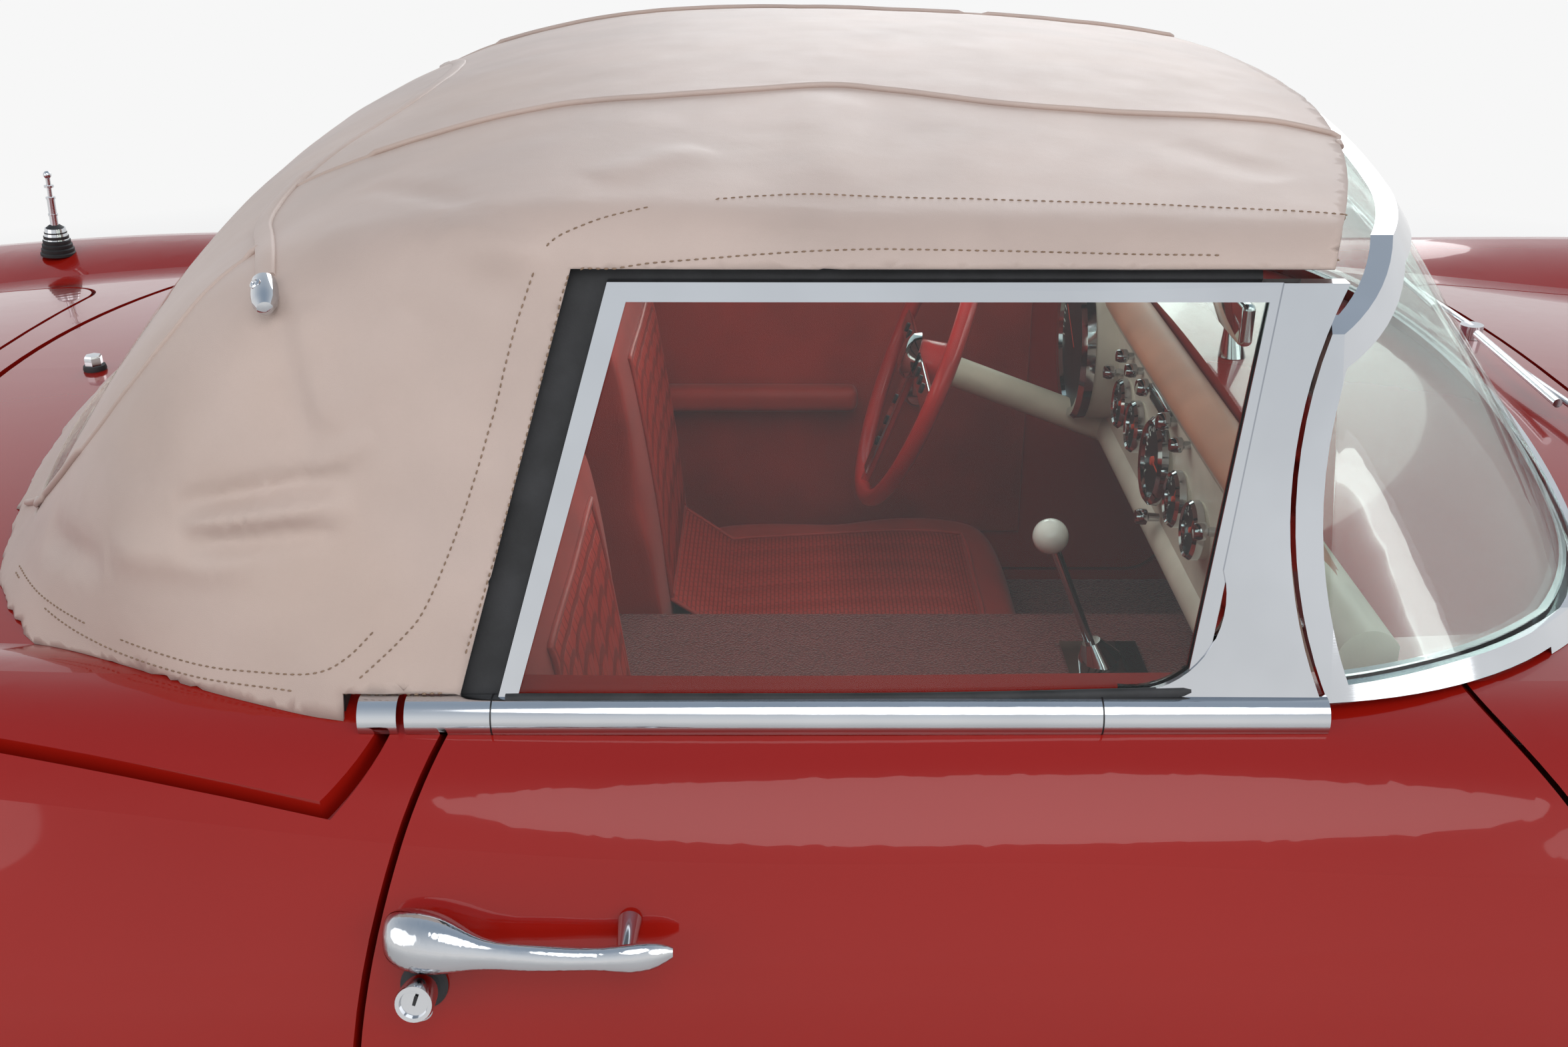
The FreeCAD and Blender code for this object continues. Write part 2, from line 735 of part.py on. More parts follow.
# Door windows with their bright frames, the belt mouldings and the handles
def belt_bar(x_low, x_high):
    """Half-round moulding on the belt line of the right side."""
    start = Vector(x_low, -size("belt_half_width"), size("belt_height"))
    bar = Part.makeCylinder(size("belt_radius"), x_high - x_low, start, Vector(1, 0, 0))
    return bar.cut(moved(form, z=0.3))


# Columns: x, distance of the middle from the skin, half depth, half height
HANDLE_SECTIONS = (
    (-391, 18, 9, 11),
    (-384, 19, 18, 21),
    (-366, 22, 22, 24),
    (-344, 27, 19, 21),
    (-318, 36, 10, 13),
    (-280, 41, 8, 10.5),
    (-228, 42, 7.5, 9.5),
    (-206, 41, 8, 11.5),
    (-188, 37, 6, 8.5),
    (-180, 35, 3, 4),
)


def door_handle():
    """Outside handle of the right door, with its lock, seated on the skin."""
    height = 752
    skin_y = -858
    wires = []
    for x, y, half_y, half_z in HANDLE_SECTIONS:
        ellipse = Part.Ellipse(Vector(0, 0, 0), half_z, half_y)
        wire = Part.Wire(ellipse.toShape())
        wire.rotate(Vector(0, 0, 0), Vector(0, 1, 0), 90)
        wires.append(moved(wire, x, skin_y - y, height))
    blade = Part.makeLoft(wires, True, False)
    foot = Part.makeCone(9, 7, 36, Vector(-214, skin_y, height + 1), Vector(0, -1, 0))
    lock = Part.makeCylinder(11, 42, Vector(-367, skin_y, 706), Vector(0, -1, 0))
    handle = blade.fuse(foot)
    return [handle.cut(moved(form, y=-0.3)), lock.cut(moved(form, y=-0.3))]


def cove_strip(x_low, x_high):
    """Bright strip round a cove on the right side, between two places along the car."""
    ring = side_prism(cove_steps(size("cove_trim_width")), -HALF_WIDTH - 40, -size("door_inner") - 40)
    ring = ring.cut(side_prism(cove_steps(0), -HALF_WIDTH - 50, -size("door_inner")))
    ring = ring.common(box(x_low, x_high, -1000, -600, 200, 800))
    skin = moved(plain_form, y=-size("cove_trim_height")).cut(moved(plain_form, y=-0.2))
    return ring.common(skin)


pane_top = window_top - size("window_head_gap")
side_zone = box(-500, 400, -900, -500, 700, 1400)
above_belt = moved(form, z=0.3)


def side_pane(inset_low, inset_high, shape):
    """Part of the right window's surface, between two depths, inside a prism."""
    shell = tent(inset_low).cut(tent(inset_high))
    return shell.common(side_zone).common(shape).cut(above_belt)


def glass_outline(grow):
    """Door glass in side view."""
    rear_low = window_rear(800) - grow
    rear_high = window_rear(pane_top) - grow
    steps = [((rear_low, 800),), ((rear_high, pane_top + grow),),
             ((size("window_front_high") + grow, pane_top + grow),), ((size("window_front_low") + grow, 800),)]
    return side_prism(steps, -900, 900)


glass_front = size("window_front_low")
post_prism = side_prism([
    ((size("window_front_high") - 4, pane_top),), ((glass_front + 30, 975),),
    ((glass_front + 17, 912), (glass_front - 47, 886)), ((glass_front - 47, 800),),
    ((400, 800),), ((400, pane_top),),
], -900, 900).cut(ahead_of_post(-5))
clear_glass = side_pane(1, 1 + size("glass_thickness"), glass_outline(-6))
frame_edge = side_pane(-1, 8, glass_outline(0).cut(glass_outline(-14)))
post = side_pane(-3, 8.5, post_prism)
door_low, door_high = size("door_rear") + 40, POST_X - 5
bright = [frame_edge.cut(clear_glass), post.cut(clear_glass), belt_bar(door_low, door_high)]
bright = bright[0].fuse(bright[1:]).cut(clear_glass)
front_limit = size("door_front")
rear_strip = cove_strip(-300, front_limit)
fixed_strip = cove_strip(front_limit + size("panel_gap"), 1100)
handle_parts = door_handle()
right_trim = Part.makeCompound([bright, rear_strip] + handle_parts)
belt_end = belt_bar(door_low - size("panel_gap") - 30, door_low - size("panel_gap"))
for name, side in SIDES:
    if side < 0:
        formed("door_trim_" + name, right_trim)
        formed("door_glass_" + name, clear_glass)
    else:
        formed("door_trim_" + name, mirrored(right_trim))
        formed("door_glass_" + name, mirrored(clear_glass))
formed("body_trim", Part.makeCompound([belt_end, fixed_strip, mirrored(belt_end), mirrored(fixed_strip)]))


# Grille: oval rim with upright teeth
def grille():
    """Oval chrome rim with its row of rounded teeth."""
    x = NOSE - 16
    middle = size("grille_height")
    height = size("grille_radius") + 2
    grip = size("grille_rim")
    span = size("grille_half_length")
    pieces = []
    for sign in (-1, 1):
        foot = Vector(x, -span, middle + sign * height)
        pieces.append(Part.makeCylinder(grip, 2 * span, foot, Vector(0, 1, 0)))
        bend = Part.makeTorus(height, grip, Vector(0, 0, 0), Vector(1, 0, 0))
        half = box(-50, 50, 0, 200, -200, 200) if sign > 0 else box(-50, 50, -200, 0, -200, 200)
        pieces.append(moved(bend.common(half), x, sign * span, middle))
    low = size("tooth_radius") / 2
    end = height - grip - size("seat_gap")
    steps = [((0, -end),), ((low, -end),), ((2 * low, -end / 2),), ((2 * low, end / 2),),
             ((low, end),), ((0, end),)]
    wire = outline(steps, lambda point: Vector(point[0], 0, point[1]))
    tooth = Part.Face(wire).revolve(Vector(0, 0, 0), Vector(0, 0, 1), 360)
    count = int(size("tooth_count"))
    teeth = [moved(tooth, x, (index - (count - 1) / 2) * size("tooth_pitch"), middle)
             for index in range(count)]
    return Part.makeCompound([pieces[0].fuse(pieces[1:])] + teeth)


formed("grille", grille())


# Bumpers: curved bars that wrap round the corners, with upright guards
def bumper(x_tip, side, span_low, span_high, height, guard_y):
    """One quarter bumper with a guard that reaches x_tip and a bracket to the body."""
    sign = 1 if x_tip > 0 else -1
    drum = 2200
    thickness = 24
    guard_radius = 22

    def curve(radius, y):
        drop = math.sqrt(drum ** 2 - guard_y ** 2) - math.sqrt(radius ** 2 - y ** 2)
        return (x_tip - sign * (14 + drop), side * y)

    middle = (span_low + span_high) / 2
    steps = [
        (curve(drum, span_low),),
        (curve(drum, middle), curve(drum, span_high)),
        (curve(drum - thickness, span_high),),
        (curve(drum - thickness, middle), curve(drum - thickness, span_low)),
    ]
    bar = plan_prism(steps, height - 34, height + 34)
    bar = bar.makeChamfer(9, [edge for edge in bar.Edges if edge.Length > 300])
    x_guard = x_tip - sign * guard_radius
    foot = Vector(x_guard, side * guard_y, height - 60)
    guard = Part.makeCylinder(guard_radius, 120, foot)
    head = Part.makeCone(guard_radius, guard_radius / 2, guard_radius, foot.add(Vector(0, 0, 120)))
    bracket = both_sides(min(x_guard, x_guard - sign * 160), max(x_guard, x_guard - sign * 160),
                         guard_y - 12, guard_y + 12, height - 20, height + 20)[0 if side > 0 else 1]
    return bar.fuse([guard, head, bracket.cut(moved(form, x=sign * size("seat_gap")))])


front_bars = [bumper(HALF_LENGTH, side, 290, 640, 385, 340) for _, side in SIDES]
rear_bars = [bumper(-HALF_LENGTH, side, 290, 640, 400, 340) for _, side in SIDES]
formed("front_bumpers", Part.makeCompound(front_bars))
formed("rear_bumpers", Part.makeCompound(rear_bars))


# Lamps
def ring(x, y, z, radius, thickness):
    """Round rim facing along the car."""
    return Part.makeTorus(radius, thickness, Vector(x, y, z), Vector(1, 0, 0))


def dome(x, y, z, radius, bulge, sign, depth=0):
    """Lens, a round plug with an end that is part of a ball, facing along the car."""
    ball_radius = (radius ** 2 + bulge ** 2) / (2 * bulge)
    ball = Part.makeSphere(ball_radius, Vector(x + sign * (bulge - ball_radius), y, z))
    start = Vector(x - sign * depth, y, z)
    return ball.common(Part.makeCylinder(radius, 2 * bulge + depth, start, Vector(sign, 0, 0)))


lamp_y = size("lamp_half_span") + 6
lamp_z = size("lamp_height") + 10
lamp_x = size("lamp_front") + size("seat_gap")
rim_radius = size("lamp_radius")
rims = []
lenses = []
tails = []
for _, side in SIDES:
    rim = ring(lamp_x + size("lamp_rim"), side * lamp_y, lamp_z, rim_radius, size("lamp_rim"))
    lens_radius = rim_radius - size("lamp_rim") - size("seat_gap")
    lens = dome(lamp_x, side * lamp_y, lamp_z, lens_radius, 30, 1)
    rims.append(rim)
    lenses.append(lens)
    tail_y = side * size("tail_lamp_half_span")
    tail_x = TAIL + 125 - size("seat_gap")
    tail_z = size("tail_lamp_height")
    tails.append(dome(tail_x - 40, tail_y, tail_z, size("tail_lamp_radius"), 22, -1, 40))
formed("headlight_rims", Part.makeCompound(rims))
formed("headlight_lenses", Part.makeCompound(lenses))
formed("tail_lamps", Part.makeCompound(tails))


# Small fittings outside
def antenna():
    """Ribbed rubber foot with a telescopic mast on the left rear fender."""
    foot = Vector(-1236, 652, 862)
    up = Vector(0.04, 0, 1).normalize()
    shape = Part.makeCone(24, 15, 42, foot, up)
    shape = shape.fuse(Part.makeCylinder(6, 50, foot.add(up * 38), up))
    shape = shape.fuse(Part.makeCylinder(3.5, 36, foot.add(up * 86), up))
    return shape.fuse(Part.makeSphere(6, foot.add(up * 124))).cut(moved(form, z=0.3))


def mirror():
    """Round-cornered mirror on a conical stand behind the windshield."""
    stand = Part.makeCone(19, 7, 62, Vector(432, 0, 893), Vector(-0.1, 0, 1))
    head = box(414, 430, -82, 82, 945, 995)
    head = head.makeFillet(7, head.Edges)
    return stand.fuse(head).cut(moved(form, z=0.3))


def wipers():
    """Two wipers that rest on the cowl in front of the windshield."""
    arms = []
    for y in (-250, 110):
        pivot = Part.makeCylinder(14, 26, Vector(758, y, 888), Vector(0, 0, 1))
        pivot = pivot.cut(moved(form, z=0.3))
        arm = rod(Vector(758, y, 911), Vector(738, y + 190, 918), 4)
        blade = rod(Vector(733, y + 60, 918), Vector(740, y + 300, 920), 5)
        arms.append(pivot.fuse([arm, blade]))
    return Part.makeCompound(arms)


formed("antenna", antenna())
formed("mirror", mirror())
formed("wipers", wipers())


# Cabin
def floor_cover():
    """Carpet over the floor, the tunnel, the toe board and the wall behind the seats."""
    inner = size("door_inner") - 1
    low = size("cabin_floor")
    thick = 12
    half = size("tunnel_half_width")
    top = size("tunnel_top")
    front = size("cabin_front") - 1
    rear = size("cabin_rear") + 1
    cover = box(rear, front, -inner, inner, low, low + thick)
    cover = cover.fuse([
        box(rear, front, -half - thick, half + thick, low, top + thick),
        box(rear, rear + thick, -inner, inner, low, size("cowl_under") - 20),
        box(front - thick, front, -inner, inner, low, size("cowl_under") - 20),
    ])
    return cover.cut(box(rear - 5, front + 5, -half, half, low - 5, top))


formed("cabin_carpet", floor_cover())
CARPET = size("cabin_floor") + 12


def bucket(side):
    """Bucket seat: a cushion and a leaning back with round edges."""
    width = size("seat_width")
    mid = side * size("seat_half_span")
    low = mid - width / 2
    cushion = [((-260, CARPET + 0.3),), ((235, CARPET + 0.3),), ((250, 400),), ((-20, 432), (-275, 395))]
    back = [((-375, 395),), ((-255, 395),), ((-322, 880),), ((-352, 902), (-392, 885))]
    parts = []
    for steps in (cushion, back):
        wire = outline(steps, lambda point: Vector(point[0], low, point[1]))
        block = Part.Face(wire).extrude(Vector(0, width, 0))
        parts.append(block)
    heel = box(-375, -255, low + 20, low + width - 20, 300, 400)
    return parts[0].fuse([parts[1], heel])


for name, side in SIDES:
    formed("seat_" + name, bucket(side))

rake = math.radians(size("column_rake"))
column_axis = Vector(math.cos(rake), 0, -math.sin(rake))
wheel_hub = Vector(size("steering_reach"), size("steering_half_span"), size("steering_height"))
column_start = wheel_hub.add(column_axis * 30.3)
column_end = column_start.add(column_axis * (size("cabin_front") - column_start.x) / math.cos(rake))

dash_span = size("door_inner") - 2
dash_rear = size("cockpit_front") - 0.3
dash_steps = [((dash_rear, 700),), ((dash_rear, 868),), ((372, 905), (345, 872)), ((358, 850),),
              ((368, 690),), ((378, 640), (dash_rear, 640))]
dash = side_prism(dash_steps, -dash_span, dash_span)
dials = []
for y, radius in ((0, 52), (-118, 32), (118, 32), (-205, 32), (205, 32)):
    dials.append(Part.makeCylinder(radius, 22, Vector(352, y, 775), Vector(1, 0, -0.05)))
cluster = Part.makeCylinder(110, 60, Vector(318, 400, 800), Vector(1, 0, 0))
dash = dash.fuse(dials + [cluster])
dash = dash.cut([rod(column_start, column_end, 22.3), box(394, 420, -dash_span, dash_span, 860, 930)])
formed("dashboard", dash)


def steering_wheel():
    """Rim, hub and three spokes about the steering column."""
    rim = Part.makeTorus(size("steering_radius"), size("steering_grip"), wheel_hub, column_axis)
    hub = Part.makeCone(26, 34, 46, wheel_hub.sub(column_axis * 16), column_axis)
    across = Vector(0, 1, 0)
    upright = column_axis.cross(across)
    spokes = []
    for angle in (0, 180, 270):
        turn = math.radians(angle)
        way = across * math.cos(turn) + upright * math.sin(turn)
        spokes.append(rod(wheel_hub, wheel_hub.add(way * size("steering_radius")), 7))
    return rim.fuse([hub] + spokes)


formed("steering_wheel", steering_wheel())
column_room = box(0, size("cabin_front") - 13.3, 300, 500, 400, 900)
formed("steering_column", rod(column_start, column_end, 22).common(column_room))


def gearshift():
    """Floor lever with its plate, boot and ball on the tunnel."""
    top = size("tunnel_top") + 12.3
    plate = box(262, 362, -48, 48, top, top + 8)
    boot = Part.makeCone(30, 12, 30, Vector(305, 0, top + 6), Vector(-0.4, 0, 1))
    lever = rod(Vector(302, 0, top + 8), Vector(236, 0, 664), 6)
    stick = boot.fuse(lever).cut(box(200, 400, -60, 60, top - 100, top))
    return plate.fuse([stick, Part.makeSphere(22, Vector(232, 0, 674))])


formed("gearshift", gearshift())


# Chassis frame: two rails that kick up over the rear axle, joined by cross members
def chassis_frame():
    """Side rails cut from plate and the members across them."""
    low = size("frame_bottom")
    depth = size("frame_depth")
    line_low = [(-2000, 330), (-1420, 412), (-960, 412), (-680, low), (1000, low), (1150, 250), (1950, 262)]
    steps = [(point,) for point in line_low]
    steps += [((x, z + depth),) for x, z in reversed(line_low)]
    inner = size("frame_inner")
    outer = size("frame_outer")
    rails = [side_prism(steps, side * inner, side * outer) for _, side in SIDES]
    members = []
    deep = depth - 2
    for x, z, height in ((-1960, 345, 50), (-1000, 418, 50), (-450, low, deep), (150, low, deep),
                         (720, low, deep), (1180, 258, 50), (1900, 268, 50)):
        members.append(box(x - 30, x + 30, -inner, inner, z, z + height))
    members += both_sides(1180, 1260, 280.3, inner, 270, 320)
    pin_hole = Part.makeCylinder(8, 200, Vector(1900, 0, 200))
    span = size("pipe_half_span")
    pipe_room = both_sides(-700, 1000, span - 30, span + 30, 150, low + 47)
    openings = [box(-700, 800, -110, 110, 205, 300), pin_hole] + pipe_room
    return rails[0].fuse([rails[1]] + members).cut(openings)


formed("chassis_frame", chassis_frame())

engine_block = doc.addObject("Part::Box", "engine_block")
engine_block.Length = 640
engine_block.Width = 560
engine_block.Height = 400
engine_block.Placement = FreeCAD.Placement(Vector(850, -280, 309), FreeCAD.Rotation())
gearbox = doc.addObject("Part::Box", "gearbox")
gearbox.Length = 520
gearbox.Width = 190
gearbox.Height = 200
gearbox.Placement = FreeCAD.Placement(Vector(335, -95, 225), FreeCAD.Rotation())
power_unit = doc.addObject("Part::Fuse", "power_unit")
power_unit.Base = engine_block
power_unit.Tool = gearbox
keep(power_unit, "engine")

rear_span = size("rear_track") / 2
front_span = size("front_track") / 2


def across(x, y_from, y_to, radius):
    """Round bar across the car at the height of the axles."""
    return rod(Vector(x, y_from, AXLE_HEIGHT), Vector(x, y_to, AXLE_HEIGHT), radius)


def rear_axle():
    """Axle tubes, differential and propeller shaft."""
    tube = across(REAR_AXLE, -rear_span + 25, rear_span - 25, size("axle_tube_radius"))
    spindle = across(REAR_AXLE, -rear_span - 46, rear_span + 46, size("spindle_radius"))
    ball = Part.makeSphere(size("differential_radius"), Vector(REAR_AXLE, 0, AXLE_HEIGHT))
    shaft = rod(Vector(REAR_AXLE, 0, AXLE_HEIGHT), Vector(334.7, 0, 330), 32)
    return tube.fuse([spindle, ball, shaft])


formed("rear_axle", rear_axle())


def leaf_spring(side):
    """Curved pack of leaves below the rear axle, with eyes on pins from the rails."""
    half = size("spring_half_length")
    leaf = size("spring_leaf")
    width = size("spring_width")
    low = AXLE_HEIGHT - size("axle_tube_radius") - leaf - 0.3
    steps = [
        ((REAR_AXLE - half, low + 70),),
        ((REAR_AXLE, low), (REAR_AXLE + half, low + 70)),
        ((REAR_AXLE + half, low + 70 + leaf),),
        ((REAR_AXLE, low + leaf), (REAR_AXLE - half, low + 70 + leaf)),
    ]
    mid = side * size("spring_half_span")
    spring = side_prism(steps, mid - width / 2, mid + width / 2)
    eyes = []
    inner = side * (size("frame_outer") + 0.3)
    for x in (REAR_AXLE - half, REAR_AXLE + half):
        eyes.append(rod(Vector(x, inner, low + 85), Vector(x, mid + side * width / 2, low + 85), 22))
    return spring.fuse(eyes)


formed("leaf_springs", Part.makeCompound([leaf_spring(side) for _, side in SIDES]))

king_span = size("kingpin_half_span")
arm_reach = size("arm_half_reach")


def front_suspension():
    """Cross member with upper and lower arms that end in a kingpin on each side."""
    inner = size("frame_inner")
    top = AXLE_HEIGHT + arm_reach + 11
    parts = [box(FRONT_AXLE - 60, FRONT_AXLE + 60, -inner - 60, inner + 60, 176, 249)]
    for _, side in SIDES:
        pin = Vector(FRONT_AXLE, side * king_span, AXLE_HEIGHT - arm_reach)
        parts.append(Part.makeCylinder(size("kingpin_radius"), 2 * arm_reach, pin))
        for z, spread in ((AXLE_HEIGHT - arm_reach, 95), (AXLE_HEIGHT + arm_reach, 60)):
            steps = [
                ((FRONT_AXLE - spread, side * 400),),
                ((FRONT_AXLE - 24, side * king_span),),
                ((FRONT_AXLE, side * (king_span + 24)), (FRONT_AXLE + 24, side * king_span)),
                ((FRONT_AXLE + spread, side * 400),),
            ]
            parts.append(plan_prism(steps, z - 11, z + 11))
    parts += both_sides(FRONT_AXLE - 60, FRONT_AXLE + 60, 396, 429, 200, top)
    rail_gap = both_sides(1000, 1950, inner - 0.3, size("frame_outer") + 0.3, 249.5, 336)
    return parts[0].fuse(parts[1:]).cut(rail_gap)


formed("front_suspension", front_suspension())


def knuckle(side):
    """Sleeve on the kingpin with the wheel's spindle and the brake plate."""
    reach = arm_reach - 11 - 0.3
    sleeve = Part.makeCylinder(24, 2 * reach, Vector(FRONT_AXLE, side * king_span, AXLE_HEIGHT - reach))
    spindle = across(FRONT_AXLE, side * king_span, side * (front_span + 46), size("spindle_radius"))
    plate = across(FRONT_AXLE, side * (king_span + 22), side * (king_span + 28), 105)
    pin = Vector(FRONT_AXLE, side * king_span, AXLE_HEIGHT - arm_reach)
    bore = Part.makeCylinder(size("kingpin_radius") + 0.1, 2 * arm_reach, pin)
    return sleeve.fuse([spindle, plate]).cut(bore)


for name, side in SIDES:
    formed("knuckle_" + name, knuckle(side))


# Wheels and tyres: turned profiles about each axle
def turned(label, steps, x, y, bound):
    """Body revolved about the axle; steps are (radius, outward) points, bound ties the first radius."""
    body = doc.addObject("PartDesign::Body", label)
    plane = [item for item in body.Origin.OriginFeatures if item.Role == "XZ_Plane"][0]
    sketch = body.newObject("Sketcher::SketchObject", label + "_profile")
    sketch.AttachmentSupport = [(plane, "")]
    sketch.MapMode = "FlatFace"
    here = steps[0][-1]
    lines = []
    for step in steps[1:] + steps[:1]:
        start = Vector(here[0], here[1], 0)
        if len(step) == 2:
            middle = Vector(step[0][0], step[0][1], 0)
            sketch.addGeometry(Part.Arc(start, middle, Vector(step[1][0], step[1][1], 0)))
        else:
            lines.append(sketch.addGeometry(Part.LineSegment(start, Vector(step[0][0], step[0][1], 0))))
        here = step[-1]
    number = sketch.addConstraint(Sketcher.Constraint("DistanceX", -1, 1, lines[-1], 2, steps[0][-1][0]))
    sketch.setExpression("Constraints[%d]" % number, "sizes." + bound)
    turn = body.newObject("PartDesign::Revolution", label + "_turn")
    turn.Profile = sketch
    turn.ReferenceAxis = (sketch, ["V_Axis"])
    turn.Angle = 360
    body.Tip = turn
    tilt = FreeCAD.Rotation(Vector(1, 0, 0), -90 if y > 0 else 90)
    body.Placement = FreeCAD.Placement(Vector(x, y, AXLE_HEIGHT), tilt)
    return keep(body, label)


half_tyre = size("tyre_width") / 2
half_rim = size("rim_width") / 2
tyre_radius = size("tyre_radius")
rim_seat = size("rim_radius")
wall = size("rim_wall")
spindle_bore = size("spindle_radius") + 0.1
TYRE = [
    ((rim_seat, -half_rim),),
    ((rim_seat + 55, -half_tyre),),
    ((tyre_radius - 22, -half_tyre + 8),),
    ((tyre_radius, -half_tyre + 30),),
    ((tyre_radius, half_tyre - 30),),
    ((tyre_radius - 22, half_tyre - 8),),
    ((rim_seat + 55, half_tyre),),
    ((rim_seat, half_rim),),
]
WHEEL = [
    ((rim_seat, -half_rim),),
    ((rim_seat, half_rim + 6),),
    ((150, 44),),
    ((72, 60),),
    ((0, 84),),
    ((0, 50),),
    ((spindle_bore, 50),),
    ((spindle_bore, -18),),
    ((size("hub_radius"), -18),),
    ((size("hub_radius"), 24),),
    ((rim_seat - wall, 36),),
    ((rim_seat - wall, -half_rim),),
]
for name, side in SIDES:
    for end, x, span in (("front", FRONT_AXLE, front_span), ("rear", REAR_AXLE, rear_span)):
        turned("tyre_%s_%s" % (end, name), TYRE, x, side * span, "rim_radius")
        turned("wheel_%s_%s" % (end, name), WHEEL, x, side * span, "rim_radius")


# Rubber buffers that the closed panels rest against
def lid_buffer(x, y):
    """Buffer between a lid and the ledge below it."""
    block = Part.makeCylinder(11, 500, Vector(x, y, 500))
    thick = size("panel_thickness")
    over = moved(form, z=-thick - size("seat_gap"))
    return block.common(over).cut(moved(form, z=-thick - size("panel_gap")))


def door_buffer(side):
    """Buffer between a door's rear face and its jamb."""
    block = box(-460, -380, min(side * 720, side * 750), max(side * 720, side * 750), 480, 520)
    return block.common(door_block(side, size("panel_gap"))).cut(door_block(side, size("seat_gap")))


hood_x = size("hood_rear") + size("lid_ledge") / 2
trunk_x = size("trunk_rear") + size("lid_ledge") / 2 + 40
rubbers = []
for _, side in SIDES:
    for x in (size("hood_front") - 200, hood_x + 200):
        rubbers.append(lid_buffer(x, side * (size("hood_half_width") - 17)))
    rubbers.append(lid_buffer(trunk_x + 200, side * (size("trunk_half_width") - 17)))
    rubbers.append(door_buffer(side))
fuel_stem = Part.makeCylinder(8, 200, Vector(-628, HALF_WIDTH - 120, 742), Vector(0, 1, 0))
rubbers.append(fuel_stem.common(moved(form, y=-12.3)).cut(moved(form, y=-40)))
formed("buffers", Part.makeCompound(rubbers))


# Exhaust: one pipe on each side with its muffler, out through the rear
def exhaust(side):
    """Pipe, muffler and tail pipe below the floor."""
    y = side * size("pipe_half_span")
    radius = size("pipe_radius")
    points = [(1180, 185), (-640, 185), (-960, 262), (-1400, 262), (-2050, 292)]
    stretches = []
    for (x_from, z_from), (x_to, z_to) in zip(points, points[1:]):
        stretches.append(rod(Vector(x_from, y, z_from), Vector(x_to, y, z_to), radius))
        stretches.append(Part.makeSphere(radius, Vector(x_from, y, z_from)))
    middle = size("pan_height") - size("muffler_radius") - size("seat_gap")
    muffler = rod(Vector(-400, y, middle), Vector(100, y, middle), size("muffler_radius"))
    return muffler.fuse(stretches)


formed("exhaust", Part.makeCompound([exhaust(side) for _, side in SIDES]))

doc.recompute()
os.makedirs("parts", exist_ok=True)
for piece in pieces:
    if "Invalid" in piece.State or "Error" in piece.State:
        raise RuntimeError(piece.Label + " is not up to date")
    if piece.Shape.isNull() or not piece.Shape.isValid():
        raise RuntimeError(piece.Label + " has no valid shape")
    piece.Shape.exportStep(os.path.join("parts", piece.Label + ".step"))
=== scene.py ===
import math

import bmesh
import bpy
from bpy.props import FloatProperty, FloatVectorProperty, PointerProperty
from mathutils import Matrix, Vector, noise
from mathutils.bvhtree import BVHTree


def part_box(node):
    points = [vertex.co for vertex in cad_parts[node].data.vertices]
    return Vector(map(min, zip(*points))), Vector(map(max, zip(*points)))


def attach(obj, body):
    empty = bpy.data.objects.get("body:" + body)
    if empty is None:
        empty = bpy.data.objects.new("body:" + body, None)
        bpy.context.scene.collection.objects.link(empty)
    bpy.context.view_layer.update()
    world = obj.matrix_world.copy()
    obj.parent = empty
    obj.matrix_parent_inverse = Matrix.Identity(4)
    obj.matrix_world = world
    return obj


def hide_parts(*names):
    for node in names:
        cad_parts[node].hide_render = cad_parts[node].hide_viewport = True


bl_info = {
    "name": "Convertible car",
    "version": (1, 0, 0),
    "blender": (4, 5, 0),
    "location": "3D View > Sidebar > Car",
    "description": "Cloth top, trim, cabin and finishes of a two-seat convertible car",
    "category": "Object",
}

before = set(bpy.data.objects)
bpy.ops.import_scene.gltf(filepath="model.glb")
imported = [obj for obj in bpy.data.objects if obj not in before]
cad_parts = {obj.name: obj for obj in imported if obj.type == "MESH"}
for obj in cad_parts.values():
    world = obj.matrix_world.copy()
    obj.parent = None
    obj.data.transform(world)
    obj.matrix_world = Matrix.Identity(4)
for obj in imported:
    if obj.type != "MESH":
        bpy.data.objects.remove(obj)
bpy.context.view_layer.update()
SIDES = (("right", -1), ("left", 1))


def colour(name, default, description):
    """Colour that the panel shows."""
    return FloatVectorProperty(name=name, description=description, subtype="COLOR", size=3,
                               default=default, min=0, max=1)


def distance(name, default, description):
    """Length in metres that the panel shows."""
    return FloatProperty(name=name, description=description, subtype="DISTANCE", unit="LENGTH",
                         default=default, min=0)


class CarColours(bpy.types.PropertyGroup):
    """Colours of the car's finishes"""
    paint: colour("Paint", (0.31, 0.008, 0.004), "Glossy body colour")
    cloth: colour("Top cloth", (0.53, 0.415, 0.365), "Coated cloth of the folding top")
    chrome: colour("Chrome", (0.62, 0.63, 0.65), "Polished trim")
    vinyl: colour("Seat vinyl", (0.38, 0.030, 0.020), "Seats and door inners")
    dash: colour("Dash", (0.56, 0.50, 0.42), "Painted face of the dashboard")
    carpet: colour("Carpet", (0.16, 0.012, 0.01), "Loop carpet")
    glass: colour("Glass", (0.92, 0.97, 0.95), "Tint of the window glass")
    rubber: colour("Rubber", (0.016, 0.016, 0.017), "Weatherstrips and boots")


class CarSizes(bpy.types.PropertyGroup):
    """Sizes of the sewn and fitted details"""
    cloth_thickness: distance("Cloth thickness", 0.0026, "Coated cloth with its lining")
    welt_radius: distance("Welt radius", 0.0032, "Piping sewn into the seams of the top")
    stitch_length: distance("Stitch length", 0.0042, "One stitch of the seams")
    stitch_pitch: distance("Stitch pitch", 0.0062, "From one stitch to the next")
    stitch_width: distance("Stitch width", 0.0016, "Thickness of the thread")


